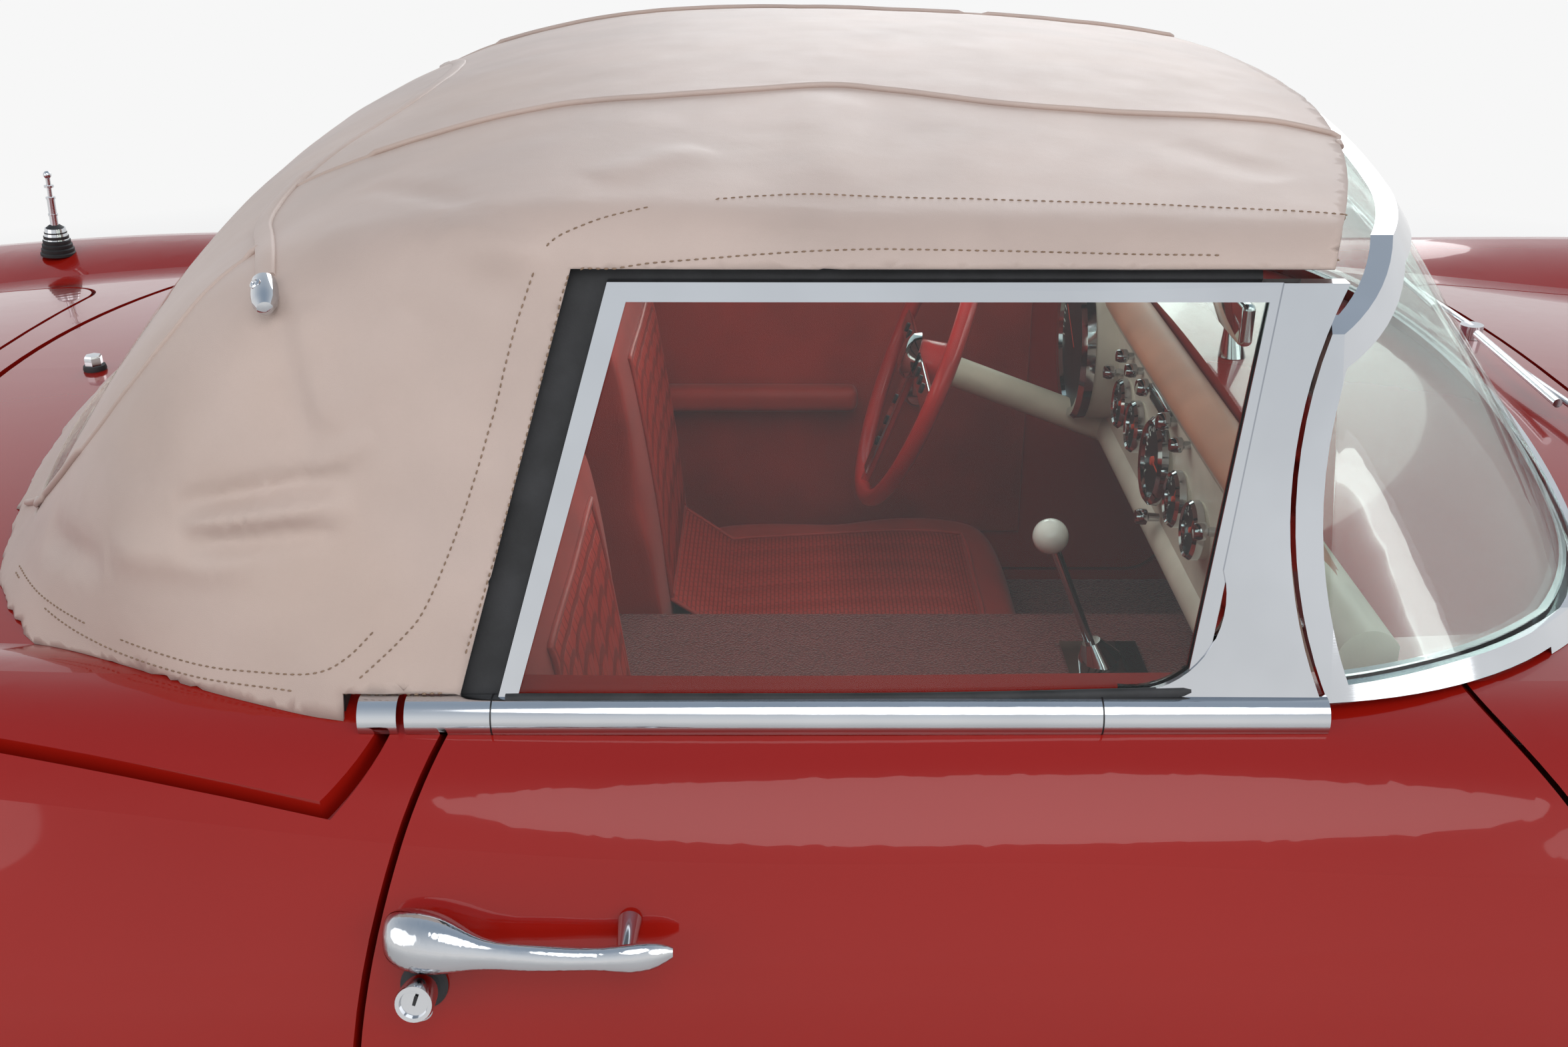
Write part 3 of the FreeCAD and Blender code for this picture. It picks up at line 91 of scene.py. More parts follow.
class Value:
    """A shader socket that takes part in plain arithmetic."""

    def __init__(self, recipe, socket):
        self.recipe = recipe
        self.socket = socket

    def joined_by(self, operation, first, second=None, clamp=False):
        inputs = {0: first} if second is None else {0: first, 1: second}
        return self.recipe.node("ShaderNodeMath", {"operation": operation, "use_clamp": clamp}, inputs)

    def __add__(self, other):
        return self.joined_by("ADD", self, other)

    def __sub__(self, other):
        return self.joined_by("SUBTRACT", self, other)

    def __rsub__(self, other):
        return self.joined_by("SUBTRACT", other, self)

    def __mul__(self, other):
        return self.joined_by("MULTIPLY", self, other)

    __radd__ = __add__
    __rmul__ = __mul__

    def clamped(self):
        return self.joined_by("ADD", self, 0.0, clamp=True)


class Recipe:
    """The node tree of one finish, or of the world."""

    def __init__(self, name, world=False):
        self.world = world
        self.owner = bpy.data.worlds.new(name) if world else bpy.data.materials.new(name)
        self.owner.use_nodes = True
        self.tree = self.owner.node_tree
        self.tree.nodes.clear()

    def node(self, kind, settings=None, inputs=None, output=0):
        """Adds a node: its settings first, then the values or links of its sockets."""
        made = self.tree.nodes.new(kind)
        for key, value in (settings or {}).items():
            if key == "stops":
                ramp = made.color_ramp
                while len(ramp.elements) < len(value):
                    ramp.elements.new(1)
                for stop, (place, tone) in zip(ramp.elements, value):
                    stop.position = place
                    stop.color = (*tone, 1) if len(tone) == 3 else tone
            else:
                setattr(made, key, value)
        for key, value in (inputs or {}).items():
            if isinstance(value, Value):
                self.tree.links.new(value.socket, made.inputs[key])
            else:
                if getattr(made.inputs[key], "type", "") == "RGBA" and len(value) == 3:
                    value = (*value, 1)
                made.inputs[key].default_value = value
        return Value(self, made.outputs[output])

    def place(self, scale=(1, 1, 1), turn=(0, 0, 0)):
        spot = self.node("ShaderNodeTexCoord", output="Object")
        return self.node("ShaderNodeMapping", None, {"Vector": spot, "Scale": scale, "Rotation": turn})

    def noise(self, where, scale, detail=3, rough=0.5):
        return self.node("ShaderNodeTexNoise", None,
                         {"Vector": where, "Scale": scale, "Detail": detail, "Roughness": rough})

    def cells(self, where, scale, feature="F1"):
        return self.node("ShaderNodeTexVoronoi", {"feature": feature}, {"Vector": where, "Scale": scale})

    def ramp(self, factor, *stops):
        return self.node("ShaderNodeValToRGB", {"stops": stops}, {"Fac": factor})

    def blend(self, factor, first, second):
        return self.node("ShaderNodeMix", {"data_type": "RGBA"}, {0: factor, 6: first, 7: second}, 2)

    def bump(self, height, strength, depth, under=None):
        inputs = {"Height": height, "Strength": strength, "Distance": depth}
        if under is not None:
            inputs["Normal"] = under
        return self.node("ShaderNodeBump", None, inputs)

    def shader(self, **inputs):
        named = {key.replace("_", " "): value for key, value in inputs.items()}
        return self.node("ShaderNodeBsdfPrincipled", None, named)

    def done(self, surface):
        end = self.tree.nodes.new("ShaderNodeOutputWorld" if self.world else "ShaderNodeOutputMaterial")
        self.tree.links.new(surface.socket, end.inputs["Surface"])
        return self.owner


def shades(tone, low, high):
    """Two tones about a colour, for a ramp."""
    return tuple(part * low for part in tone), tuple(min(1, part * high) for part in tone)


def paint_finish(name, tone):
    """Deep gloss paint with a faint ripple and very faint dust."""
    make = Recipe(name)
    where = make.place()
    low, high = shades(tone, 0.93, 1.05)
    tint = make.ramp(make.noise(where, 1.7, 2), (0.3, low), (0.7, high))
    dust = make.noise(where, 38, 4, 0.7)
    ripple = make.bump(make.noise(where, 55, 1), 0.05, 0.0012)
    return make.done(make.shader(Base_Color=tint, Roughness=0.16 + 0.1 * dust, Normal=ripple,
                                 Specular_IOR_Level=0.1, Coat_Weight=0.85, Coat_IOR=1.42,
                                 Coat_Roughness=0.03))


def chrome_finish(name, tone, rough=0.06):
    """Polished metal with hazy patches and fine wipe marks."""
    make = Recipe(name)
    where = make.place()
    haze = make.noise(where, 9, 3)
    marks = make.noise(make.place((1, 1, 30)), 60, 2)
    low, high = shades(tone, 0.92, 1.0)
    tint = make.ramp(haze, (0.35, low), (0.65, high))
    return make.done(make.shader(Base_Color=tint, Metallic=1.0, Roughness=rough + 0.05 * haze * marks,
                                 Normal=make.bump(marks, 0.03, 0.0004)))


def glass_finish(name, tone, edge=0.015):
    """Clear sheet that mirrors more at a slant."""
    make = Recipe(name)
    smear = make.noise(make.place(), 3, 3)
    clear = make.node("ShaderNodeBsdfTransparent", None, {"Color": tone})
    gloss = make.shader(Base_Color=(1, 1, 1), Metallic=1.0, Roughness=0.01 + 0.03 * smear)
    slant = make.node("ShaderNodeFresnel", None, {"IOR": 1.5})
    factor = (0.35 * slant + edge * smear).clamped()
    return make.done(make.node("ShaderNodeMixShader", None, {0: factor, 1: clear, 2: gloss}))


def plastic_finish(name, tone, rough=0.45, grain=500, depth=0.0002, coat=0.0):
    """Moulded or painted surface with a fine grain."""
    make = Recipe(name)
    where = make.place()
    low, high = shades(tone, 0.86, 1.1)
    wear = make.noise(where, 14, 4, 0.6)
    tint = make.ramp(wear, (0.3, low), (0.7, high))
    fine = make.noise(where, grain, 2)
    return make.done(make.shader(Base_Color=tint, Roughness=rough + 0.12 * wear, Coat_Weight=coat,
                                 Normal=make.bump(fine, 0.3, depth)))


def hide_finish(name, tone, rough=0.42):
    """Leather-like vinyl with cell grain."""
    make = Recipe(name)
    where = make.place()
    low, high = shades(tone, 0.8, 1.12)
    tint = make.ramp(make.noise(where, 11, 4), (0.3, low), (0.7, high))
    grain = make.cells(where, 520, "DISTANCE_TO_EDGE")
    return make.done(make.shader(Base_Color=tint, Roughness=rough + 0.1 * grain, Sheen_Weight=0.1,
                                 Normal=make.bump(grain, 0.35, 0.0006)))


def quilt_finish(name, tone):
    """Vinyl pressed with short dashes in staggered rows; the pressed grooves between the dashes are painted
    darker as painted shade.
    """
    make = Recipe(name)
    across = make.place(turn=(0, 0, math.radians(90)))
    brick = make.node("ShaderNodeTexBrick", {"offset": 0.5},
                      {"Vector": across, "Scale": 60.0, "Mortar Size": 0.09, "Mortar Smooth": 0.6,
                       "Brick Width": 0.9, "Row Height": 0.36,
                       "Color1": (1, 1, 1), "Color2": (0.9, 0.9, 0.9), "Mortar": (0, 0, 0)})
    low, high = shades(tone, 0.62, 1.15)
    # Painted shade: the grooves, which are the pattern's black mortar, take the dark end of the ramp.
    tint = make.ramp(brick, (0.1, low), (0.9, high))
    return make.done(make.shader(Base_Color=tint, Roughness=0.5 - 0.08 * brick,
                                 Normal=make.bump(brick, 0.5, 0.0012)))


def cloth_finish(name, tone):
    """Coated cloth: fine leather print and faint yellowing."""
    make = Recipe(name)
    where = make.place()
    low, high = shades(tone, 0.9, 1.06)
    clean = make.ramp(make.noise(where, 5, 4), (0.35, low), (0.65, high))
    warm = (tone[0] * 0.98, tone[1] * 0.9, tone[2] * 0.8)
    old = make.ramp(make.noise(where, 2.2, 3, 0.6), (0.45, (0, 0, 0)), (0.75, (1, 1, 1)))
    tint = make.blend(0.5 * old, clean, warm)
    grain = make.cells(where, 800, "DISTANCE_TO_EDGE")
    wave = make.noise(where, 26, 3)
    normal = make.bump(grain, 0.35, 0.0004, make.bump(wave, 0.25, 0.002))
    return make.done(make.shader(Base_Color=tint, Roughness=0.42 + 0.12 * wave, Normal=normal,
                                 Sheen_Weight=0.15))


def metal_finish(name, tone, rough=0.4, metal=1.0, stain=(0.1, 0.06, 0.04)):
    """Plain metal with stains and road dirt."""
    make = Recipe(name)
    where = make.place()
    spots = make.ramp(make.noise(where, 12, 5, 0.7), (0.5, (0, 0, 0)), (0.8, (1, 1, 1)))
    tint = make.blend(0.6 * spots, tone, stain)
    return make.done(make.shader(Base_Color=tint, Metallic=metal * (1 - 0.5 * spots),
                                 Roughness=rough + 0.3 * spots,
                                 Normal=make.bump(make.noise(where, 300, 2), 0.2, 0.0004)))


def carpet_finish(name, tone):
    """Looped pile, each loop painted lighter at its middle and darker towards the gaps between loops as painted
    shade.
    """
    make = Recipe(name)
    where = make.place()
    loops = make.cells(where, 340)
    low, high = shades(tone, 0.55, 1.35)
    # Painted shade: the colour runs from light at each loop's middle to dark towards the gaps between loops.
    tint = make.ramp(loops + 0.3 * make.noise(where, 30, 3), (0.2, high), (0.9, low))
    return make.done(make.shader(Base_Color=tint, Roughness=0.95, Sheen_Weight=0.4,
                                 Normal=make.bump(loops, 0.8, 0.002)))


def rubber_finish(name, tone, rough=0.55):
    """Black rubber with dull and worn patches."""
    make = Recipe(name)
    where = make.place()
    worn = make.noise(where, 25, 4, 0.6)
    low, high = shades(tone, 0.7, 2.2)
    tint = make.ramp(worn, (0.35, low), (0.75, high))
    return make.done(make.shader(Base_Color=tint, Roughness=rough + 0.2 * worn,
                                 Normal=make.bump(make.noise(where, 700, 2), 0.3, 0.0003)))


WAVE_TURN = 6.28


def lens_finish(name, tone, pitch=160):
    """Pressed lens with upright ribs."""
    make = Recipe(name)
    ribs = make.node("ShaderNodeTexWave", {"bands_direction": "Y"},
                     {"Vector": make.place(), "Scale": pitch / WAVE_TURN, "Distortion": 0.0})
    return make.done(make.shader(Base_Color=tone, Roughness=0.05 + 0.05 * ribs, Coat_Weight=1.0,
                                 Normal=make.bump(ribs, 0.4, 0.0015)))


FINISHES = {}

# Each finish: its recipe, its material's name, its slot, its tone (the name of one of the car's
# colours, or red, green and blue) and what else the recipe takes
FINISH_TABLE = {
    "paint": (paint_finish, "red_paint", "paint", "paint", {}),
    "chrome": (chrome_finish, "polished_chrome", "chrome", "chrome", {}),
    "glass": (glass_finish, "window_glass", "glass", "glass", {}),
    "lamp_glass": (lens_finish, "lamp_glass", "lens", (0.75, 0.77, 0.78), {}),
    "tail_glass": (lens_finish, "tail_glass", "tail_lens", (0.5, 0.01, 0.01), {"pitch": 400}),
    "cloth": (cloth_finish, "top_cloth", "vinyl_top", "cloth", {}),
    "clear_sheet": (glass_finish, "flexible_window", "clear_vinyl", (0.90, 0.89, 0.84), {"edge": 0.18}),
    "rubber": (rubber_finish, "black_rubber", "black_rubber", "rubber", {}),
    # Black paint of the frame and running gear; the same finish gives the wheel covers' vent marks their
    # painted shade.
    "black_paint": (metal_finish, "black_paint", "black_frame", (0.02, 0.02, 0.022),
                    {"rough": 0.45, "metal": 0.0, "stain": (0.1, 0.085, 0.07)}),
    "vinyl": (hide_finish, "seat_vinyl", "seat_vinyl", "vinyl", {}),
    "dash": (plastic_finish, "dash_paint", "dash", "dash", {"rough": 0.35}),
    "rim_red": (plastic_finish, "steering_rim_red", "wheel_rim", (0.42, 0.012, 0.01),
                {"rough": 0.25, "coat": 0.6}),
    "column_paint": (plastic_finish, "cream_paint", "column", (0.62, 0.53, 0.42), {"rough": 0.35}),
    "carpet": (carpet_finish, "loop_carpet", "carpet", "carpet", {}),
    "iron": (metal_finish, "engine_paint", "engine_block", (0.28, 0.05, 0.02),
             {"rough": 0.5, "metal": 0.0, "stain": (0.03, 0.03, 0.03)}),
    "steel": (metal_finish, "dull_steel", "steel", (0.35, 0.34, 0.33), {}),
    "tyre": (rubber_finish, "tyre_rubber", "tyre", (0.02, 0.02, 0.02), {"rough": 0.65}),
    "thread": (plastic_finish, "sewing_thread", "vinyl_top", (0.27, 0.18, 0.12),
               {"rough": 0.8, "grain": 1500}),
    "seat_insert": (quilt_finish, "seat_panel_vinyl", "seat_vinyl", "vinyl", {}),
    # The dash roll is red-brown vinyl; its tone is lifted toward tan as painted glare.
    "dash_roll": (hide_finish, "dash_roll_vinyl", "dash", (0.42, 0.17, 0.10), {"rough": 0.5}),
    "dial": (plastic_finish, "dial_black", "dash", (0.012, 0.012, 0.013), {"rough": 0.3}),
    "pale_mark": (plastic_finish, "dial_paint", "dash", (0.75, 0.76, 0.70), {"rough": 0.5}),
    "needle_red": (plastic_finish, "needle_paint", "dash", (0.55, 0.05, 0.02), {"rough": 0.4}),
    "white_ball": (plastic_finish, "white_ball", "dash", (0.80, 0.78, 0.72),
                   {"rough": 0.2, "grain": 60, "coat": 0.8}),
    "mirror_glass": (chrome_finish, "mirror_silver", "chrome", (0.85, 0.86, 0.87), {"rough": 0.02}),
    "white_band": (plastic_finish, "white_rubber", "tyre", (0.70, 0.69, 0.65), {"rough": 0.5, "grain": 700}),
    "amber_glass": (lens_finish, "amber_glass", "lens", (0.62, 0.30, 0.10), {"pitch": 500}),
    "plate_blank": (plastic_finish, "plate_blank", "chrome", (0.62, 0.62, 0.58), {"rough": 0.35}),
}

NODE_FINISH = {
    "paint": ["body", "hood", "trunk_lid", "top_cover_lid", "fuel_lid", "door_right", "door_left"],
    "chrome": ["grille", "front_bumpers", "rear_bumpers", "headlight_rims", "body_trim", "windshield_frame",
               "door_trim_right", "door_trim_left", "antenna", "mirror", "wipers", "gearshift",
               "wheel_front_right", "wheel_front_left", "wheel_rear_right", "wheel_rear_left"],
    "glass": ["windshield_glass", "door_glass_right", "door_glass_left"],
    "lamp_glass": ["headlight_lenses"],
    "tail_glass": ["tail_lamps"],
    "cloth": ["soft_top"],
    "clear_sheet": ["rear_window"],
    "rubber": ["top_seal", "buffers"],
    "black_paint": ["top_frame", "chassis_frame", "rear_axle", "front_suspension"],
    "vinyl": ["seat_right", "seat_left"],
    "dash": ["dashboard"],
    "rim_red": ["steering_wheel"],
    "column_paint": ["steering_column"],
    "carpet": ["cabin_carpet"],
    "iron": ["engine"],
    "steel": ["leaf_springs", "knuckle_right", "knuckle_left", "exhaust"],
    "tyre": ["tyre_front_right", "tyre_front_left", "tyre_rear_right", "tyre_rear_left"],
}


class CAR_OT_finishes(bpy.types.Operator):
    """Makes the finishes and gives one to each solid of the frame"""
    bl_idname = "car.finishes"
    bl_label = "Finishes"

    def execute(self, context):
        tones = context.scene.car_colours
        for finish, (recipe, name, _, tone, more) in FINISH_TABLE.items():
            tone = tuple(getattr(tones, tone)) if isinstance(tone, str) else tone
            FINISHES[finish] = recipe(name, tone, **more)
        for finish, names in NODE_FINISH.items():
            for name in names:
                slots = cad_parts[name].material_slots
                if not slots:
                    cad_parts[name].data.materials.append(FINISHES[finish])
                for slot in slots:
                    slot.material = FINISHES[finish]
        return {"FINISHED"}


def deselect():
    """Leaves nothing selected, in object mode."""
    if bpy.context.object and bpy.context.object.mode != "OBJECT":
        bpy.ops.object.mode_set(mode="OBJECT")
    bpy.ops.object.select_all(action="DESELECT")


def pick(piece):
    """Selects one piece alone."""
    deselect()
    piece.select_set(True)
    bpy.context.view_layer.objects.active = piece


def apply_modifiers(piece):
    """Turns a piece's modifiers into its mesh."""
    pick(piece)
    for modifier in list(piece.modifiers):
        bpy.ops.object.modifier_apply(modifier=modifier.name)


def settle(piece, name, finish, body, smooth=40, replaced=()):
    """Names a finished piece, puts its place into its mesh, and gives it its finish and its body."""
    pick(piece)
    bpy.ops.object.transform_apply(location=True, rotation=True, scale=True)
    piece.name = name
    piece.data.name = name
    piece.data.materials.clear()
    piece.data.materials.append(FINISHES[finish])
    if smooth:
        bpy.ops.object.shade_smooth_by_angle(angle=math.radians(smooth))
    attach(piece, body)
    if replaced:
        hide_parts(*replaced)
    deselect()
    return piece


def from_bmesh(mesh):
    """Piece made of a finished mesh."""
    data = bpy.data.meshes.new("piece")
    mesh.to_mesh(data)
    mesh.free()
    piece = bpy.data.objects.new("piece", data)
    bpy.context.scene.collection.objects.link(piece)
    return piece


def joined(parts):
    """Joins pieces that are alike into the first one."""
    pick(parts[0])
    for part in parts:
        part.select_set(True)
    if len(parts) > 1:
        bpy.ops.object.join()
    return bpy.context.view_layer.objects.active


def curve_step(a, b, c, d, t):
    """Point between b and c on the smooth curve through four points."""
    return 0.5 * (2 * b + (c - a) * t + (2 * a - 5 * b + 4 * c - d) * t ** 2
                  + (3 * b - a - 3 * c + d) * t ** 3)


def smooth_path(points, spacing):
    """Evenly spaced points on a smooth curve through the given points."""
    points = [Vector(point) for point in points]
    ends = [2 * points[0] - points[1], *points, 2 * points[-1] - points[-2]]
    dense = []
    for a, b, c, d in zip(ends, ends[1:], ends[2:], ends[3:]):
        steps = max(4, int((c - b).length / spacing) * 3)
        dense += [curve_step(a, b, c, d, index / steps) for index in range(steps)]
    dense.append(points[-1])
    even = [dense[0]]
    travelled = 0.0
    wanted = spacing
    for first, second in zip(dense, dense[1:]):
        length = (second - first).length
        while length > 0 and travelled + length >= wanted:
            even.append(first.lerp(second, (wanted - travelled) / length))
            wanted += spacing
        travelled += length
    return even


def closed_profile(points, spacing):
    """Pairs (x, z) on a smooth closed curve through the given pairs."""
    loop = [Vector((x, 0, z)) for x, z in points]
    dense = []
    for index in range(len(loop)):
        a, b, c, d = (loop[(index + shift) % len(loop)] for shift in (-1, 0, 1, 2))
        steps = max(3, round((c - b).length / spacing))
        dense += [curve_step(a, b, c, d, step / steps) for step in range(steps)]
    return [(point.x, point.z) for point in dense]


def surface_of(*pieces):
    """Search tree over the faces of some meshes."""
    vertices = []
    faces = []
    for piece in pieces:
        start = len(vertices)
        vertices += [vertex.co.copy() for vertex in piece.data.vertices]
        faces += [[start + index for index in polygon.vertices] for polygon in piece.data.polygons]
    return BVHTree.FromPolygons(vertices, faces)


def laid_on(tree, points, lift, away):
    """Points moved onto a surface and lifted off it, with the normals that look away from a point."""
    spots = []
    for point in points:
        spot, normal, _, _ = tree.find_nearest(point)
        if normal.dot(point - away) < 0:
            normal = -normal
        spots.append((spot + normal * lift, normal))
    return spots


def facing(tree, point):
    """Nearest point of a surface, with the normal that looks at the given point."""
    spot, normal, _, _ = tree.find_nearest(point)
    return spot, -normal if normal.dot(point - spot) < 0 else normal


def outward(tree, point, way):
    """Nearest point of a surface, with the normal that looks some way."""
    spot, normal, _, _ = tree.find_nearest(Vector(point))
    return spot, normal if normal.dot(Vector(way)) > 0 else -normal


def tube(name, path, radius, finish, body):
    """Round bead along a path of points."""
    curve = bpy.data.curves.new(name, "CURVE")
    curve.dimensions = "3D"
    curve.bevel_depth = radius
    curve.bevel_resolution = 3
    curve.use_fill_caps = True
    spline = curve.splines.new("POLY")
    spline.points.add(len(path) - 1)
    for point, place in zip(spline.points, path):
        point.co = (*place, 1)
    piece = bpy.data.objects.new(name, curve)
    bpy.context.scene.collection.objects.link(piece)
    pick(piece)
    bpy.ops.object.convert(target="MESH")
    return settle(bpy.context.object, name, finish, body, 60)


def skinned(shape, rings):
    """Faces from ring to ring of a mesh, and over its two ends."""
    count = len(rings[0])
    for low, high in zip(rings, rings[1:]):
        for index in range(count):
            after = (index + 1) % count
            shape.faces.new((low[index], low[after], high[after], high[index]))
    shape.faces.new(rings[0][::-1])
    shape.faces.new(rings[-1])
    bmesh.ops.recalc_face_normals(shape, faces=shape.faces)
    return from_bmesh(shape)


def strap(name, spots, width, thickness, finish, body):
    """Flat strip with a faint crown along points on a surface, each given with its normal."""
    section = [(-0.5, -0.5), (-0.49, 0.5), (-0.40, 0.9), (0.0, 1.1), (0.40, 0.9), (0.49, 0.5), (0.5, -0.5)]
    shape = bmesh.new()
    rings = []
    for index, (place, normal) in enumerate(spots):
        before = spots[max(index - 1, 0)][0]
        after = spots[min(index + 1, len(spots) - 1)][0]
        side = normal.cross(after - before).normalized()
        rings.append([shape.verts.new(place + side * width * u + normal * thickness * v) for u, v in section])
    return settle(skinned(shape, rings), name, finish, body, 50)


def stitch_row(tree, path):
    """Row of single stitches along a path on the top."""
    sizes = bpy.context.scene.car_sizes
    spots = laid_on(tree, smooth_path(path, sizes.stitch_pitch), sizes.stitch_width * 0.15, CABIN_MIDDLE)
    rows = bmesh.new()
    scale = Matrix.Diagonal((sizes.stitch_length / 2, sizes.stitch_width / 2, sizes.stitch_width / 2, 1))
    for (place, normal), (after, _) in zip(spots, spots[1:]):
        along = (after - place).normalized()
        side = normal.cross(along).normalized()
        turn = Matrix((along, side, along.cross(side))).transposed().to_4x4()
        bmesh.ops.create_icosphere(rows, subdivisions=1, radius=1,
                                   matrix=Matrix.Translation(place) @ turn @ scale)
    return settle(from_bmesh(rows), "row", "thread", "car", 80)


def mirrored_points(points):
    """Points on the car's other side."""
    return [Vector((x, -y, z)) for x, y, z in points]


def turned_piece(profile, middle, axis, segments=48):
    """Closed or open round piece from (radius, height) pairs about an axis."""
    shape = bmesh.new()
    turn = Vector(axis).normalized().to_track_quat("Z", "Y").to_matrix().to_4x4()
    place = Matrix.Translation(Vector(middle)) @ turn
    rings = []
    for radius, height in profile:
        if radius < 1e-6:
            rings.append([shape.verts.new(place @ Vector((0, 0, height)))])
            continue
        rings.append([shape.verts.new(place @ Vector((radius * math.cos(2 * math.pi * i / segments),
                                                      radius * math.sin(2 * math.pi * i / segments), height)))
                      for i in range(segments)])
    for low, high in zip(rings, rings[1:]):
        for i in range(segments):
            j = (i + 1) % segments
            corners = [low[i % len(low)], low[j % len(low)], high[j % len(high)], high[i % len(high)]]
            shape.faces.new(list(dict.fromkeys(corners)))
    bmesh.ops.recalc_face_normals(shape, faces=shape.faces)
    return from_bmesh(shape)


def round_box(corner, opposite, radius, segments=3):
    """Block between two corners with rounded edges."""
    low = Vector([min(pair) for pair in zip(corner, opposite)])
    high = Vector([max(pair) for pair in zip(corner, opposite)])
    deselect()
    bpy.ops.mesh.primitive_cube_add(size=1, location=(low + high) / 2)
    piece = bpy.context.object
    piece.scale = high - low
    bpy.ops.object.transform_apply(location=True, rotation=True, scale=True)
    bevel = piece.modifiers.new("edges", "BEVEL")
    bevel.width = radius
    bevel.segments = segments
    bevel.limit_method = "NONE"
    apply_modifiers(piece)
    return piece


def bar(middle, along, out, size, edge=0.0, segments=1):
    """Straight bar: its length lies along one way and its thickness along another."""
    shape = bmesh.new()
    along = along.normalized()
    side = out.cross(along).normalized()
    turn = Matrix((along, side, out)).transposed().to_4x4()
    bmesh.ops.create_cube(shape, size=1, matrix=Matrix.Translation(middle) @ turn @ Matrix.Diagonal((*size, 1)))
    if edge:
        bmesh.ops.bevel(shape, geom=shape.edges[:], offset=edge, segments=segments, affect="EDGES")
    return from_bmesh(shape)


def tick(middle, along, out, length, width):
    """Small flat bar, such as a mark on a dial."""
    return bar(middle, along, out, (length, width, 0.0006))


# Guides of the top's seams on the right side, in metres
WELT = [(0.425, -0.380, 1.205), (0.405, -0.345, 1.231), (0.350, -0.330, 1.241), (0.217, -0.352, 1.251),
        (0.111, -0.348, 1.258), (0.007, -0.322, 1.266), (-0.059, -0.305, 1.270), (-0.136, -0.325, 1.268),
        (-0.221, -0.336, 1.264), (-0.314, -0.340, 1.255), (-0.410, -0.358, 1.236), (-0.470, -0.375, 1.218),
        (-0.540, -0.372, 1.190)]
STITCH_HIGH = [(0.345, -0.600, 1.214), (0.323, -0.595, 1.219), (0.144, -0.584, 1.225),
               (-0.067, -0.584, 1.231), (-0.160, -0.602, 1.230), (-0.219, -0.619, 1.226),
               (-0.256, -0.631, 1.217), (-0.276, -0.639, 1.207), (-0.288, -0.648, 1.186),
               (-0.304, -0.663, 1.142), (-0.322, -0.684, 1.080), (-0.345, -0.706, 1.012),
               (-0.373, -0.727, 0.949), (-0.394, -0.736, 0.923), (-0.432, -0.746, 0.889)]
STITCH_EDGE = [(0.330, -0.640, 1.194), (0.194, -0.641, 1.199), (0.018, -0.640, 1.203),
               (-0.068, -0.641, 1.202), (-0.159, -0.645, 1.197), (-0.215, -0.650, 1.193),
               (-0.262, -0.655, 1.180), (-0.272, -0.668, 1.140), (-0.292, -0.692, 1.060),
               (-0.318, -0.714, 0.990), (-0.347, -0.743, 0.904)]
HEM_EDGE = [(-0.775, -0.552, 0.891), (-0.703, -0.637, 0.889), (-0.636, -0.686, 0.885),
            (-0.562, -0.721, 0.882), (-0.495, -0.739, 0.882), (-0.440, -0.745, 0.880),
            (-0.355, -0.750, 0.884)]
HEM_ARC = [(-0.773, -0.550, 0.897), (-0.719, -0.618, 0.897), (-0.635, -0.682, 0.896),
           (-0.561, -0.719, 0.892), (-0.508, -0.733, 0.893), (-0.463, -0.740, 0.896),
           (-0.437, -0.739, 0.908), (-0.411, -0.732, 0.932)]
BOW = [(-0.470, 0.0, 1.232), (-0.480, -0.12, 1.226), (-0.515, -0.25, 1.208), (-0.545, -0.36, 1.190),
       (-0.545, -0.456, 1.180), (-0.525, -0.530, 1.182), (-0.509, -0.580, 1.180), (-0.499, -0.620, 1.168)]
REAR_SEAM = [(-0.525, -0.545, 1.180), (-0.551, -0.560, 1.155), (-0.585, -0.585, 1.118),
             (-0.628, -0.588, 1.070), (-0.675, -0.570, 1.025), (-0.724, -0.535, 0.980),
             (-0.770, -0.490, 0.940), (-0.812, -0.430, 0.905), (-0.826, -0.400, 0.893)]
CABIN_MIDDLE = Vector((-0.1, 0.0, 0.95))

# Folds of the quarters: start, end, half width and height of each ridge, on the right side
FOLDS = (
    ((-0.575, -0.684, 1.010), (-0.430, -0.694, 1.044), 0.011, -0.0093),
    ((-0.570, -0.688, 0.999), (-0.425, -0.702, 1.019), 0.012, 0.0090),
    ((-0.572, -0.692, 0.979), (-0.440, -0.705, 1.005), 0.011, -0.0078),
    ((-0.640, -0.664, 0.966), (-0.500, -0.708, 0.974), 0.017, 0.0067),
    ((-0.489, -0.631, 1.163), (-0.462, -0.688, 1.050), 0.016, -0.0051),
    ((-0.465, -0.640, 1.163), (-0.445, -0.684, 1.062), 0.014, 0.0045),
    ((-0.465, -0.690, 1.040), (-0.410, -0.685, 1.070), 0.010, 0.0051),
    ((-0.735, -0.567, 0.936), (-0.645, -0.658, 0.949), 0.016, -0.0054),
    ((-0.383, -0.656, 1.158), (-0.433, -0.684, 1.068), 0.024, 0.0039),
    ((-0.276, -0.645, 1.197), (-0.365, -0.619, 1.215), 0.016, 0.0045),
    ((-0.290, -0.655, 1.170), (-0.390, -0.625, 1.190), 0.016, -0.0039),
    ((-0.445, -0.484, 1.218), (-0.341, -0.595, 1.227), 0.015, -0.0039),
    ((-0.061, -0.318, 1.268), (-0.069, -0.600, 1.233), 0.034, 0.0051),
    ((-0.326, -0.699, 1.035), (-0.313, -0.672, 1.114), 0.013, -0.0030),
    ((-0.164, -0.491, 1.249), (-0.250, -0.563, 1.238), 0.024, 0.0045),
    ((0.237, -0.428, 1.243), (0.307, -0.519, 1.229), 0.024, -0.0030),
)
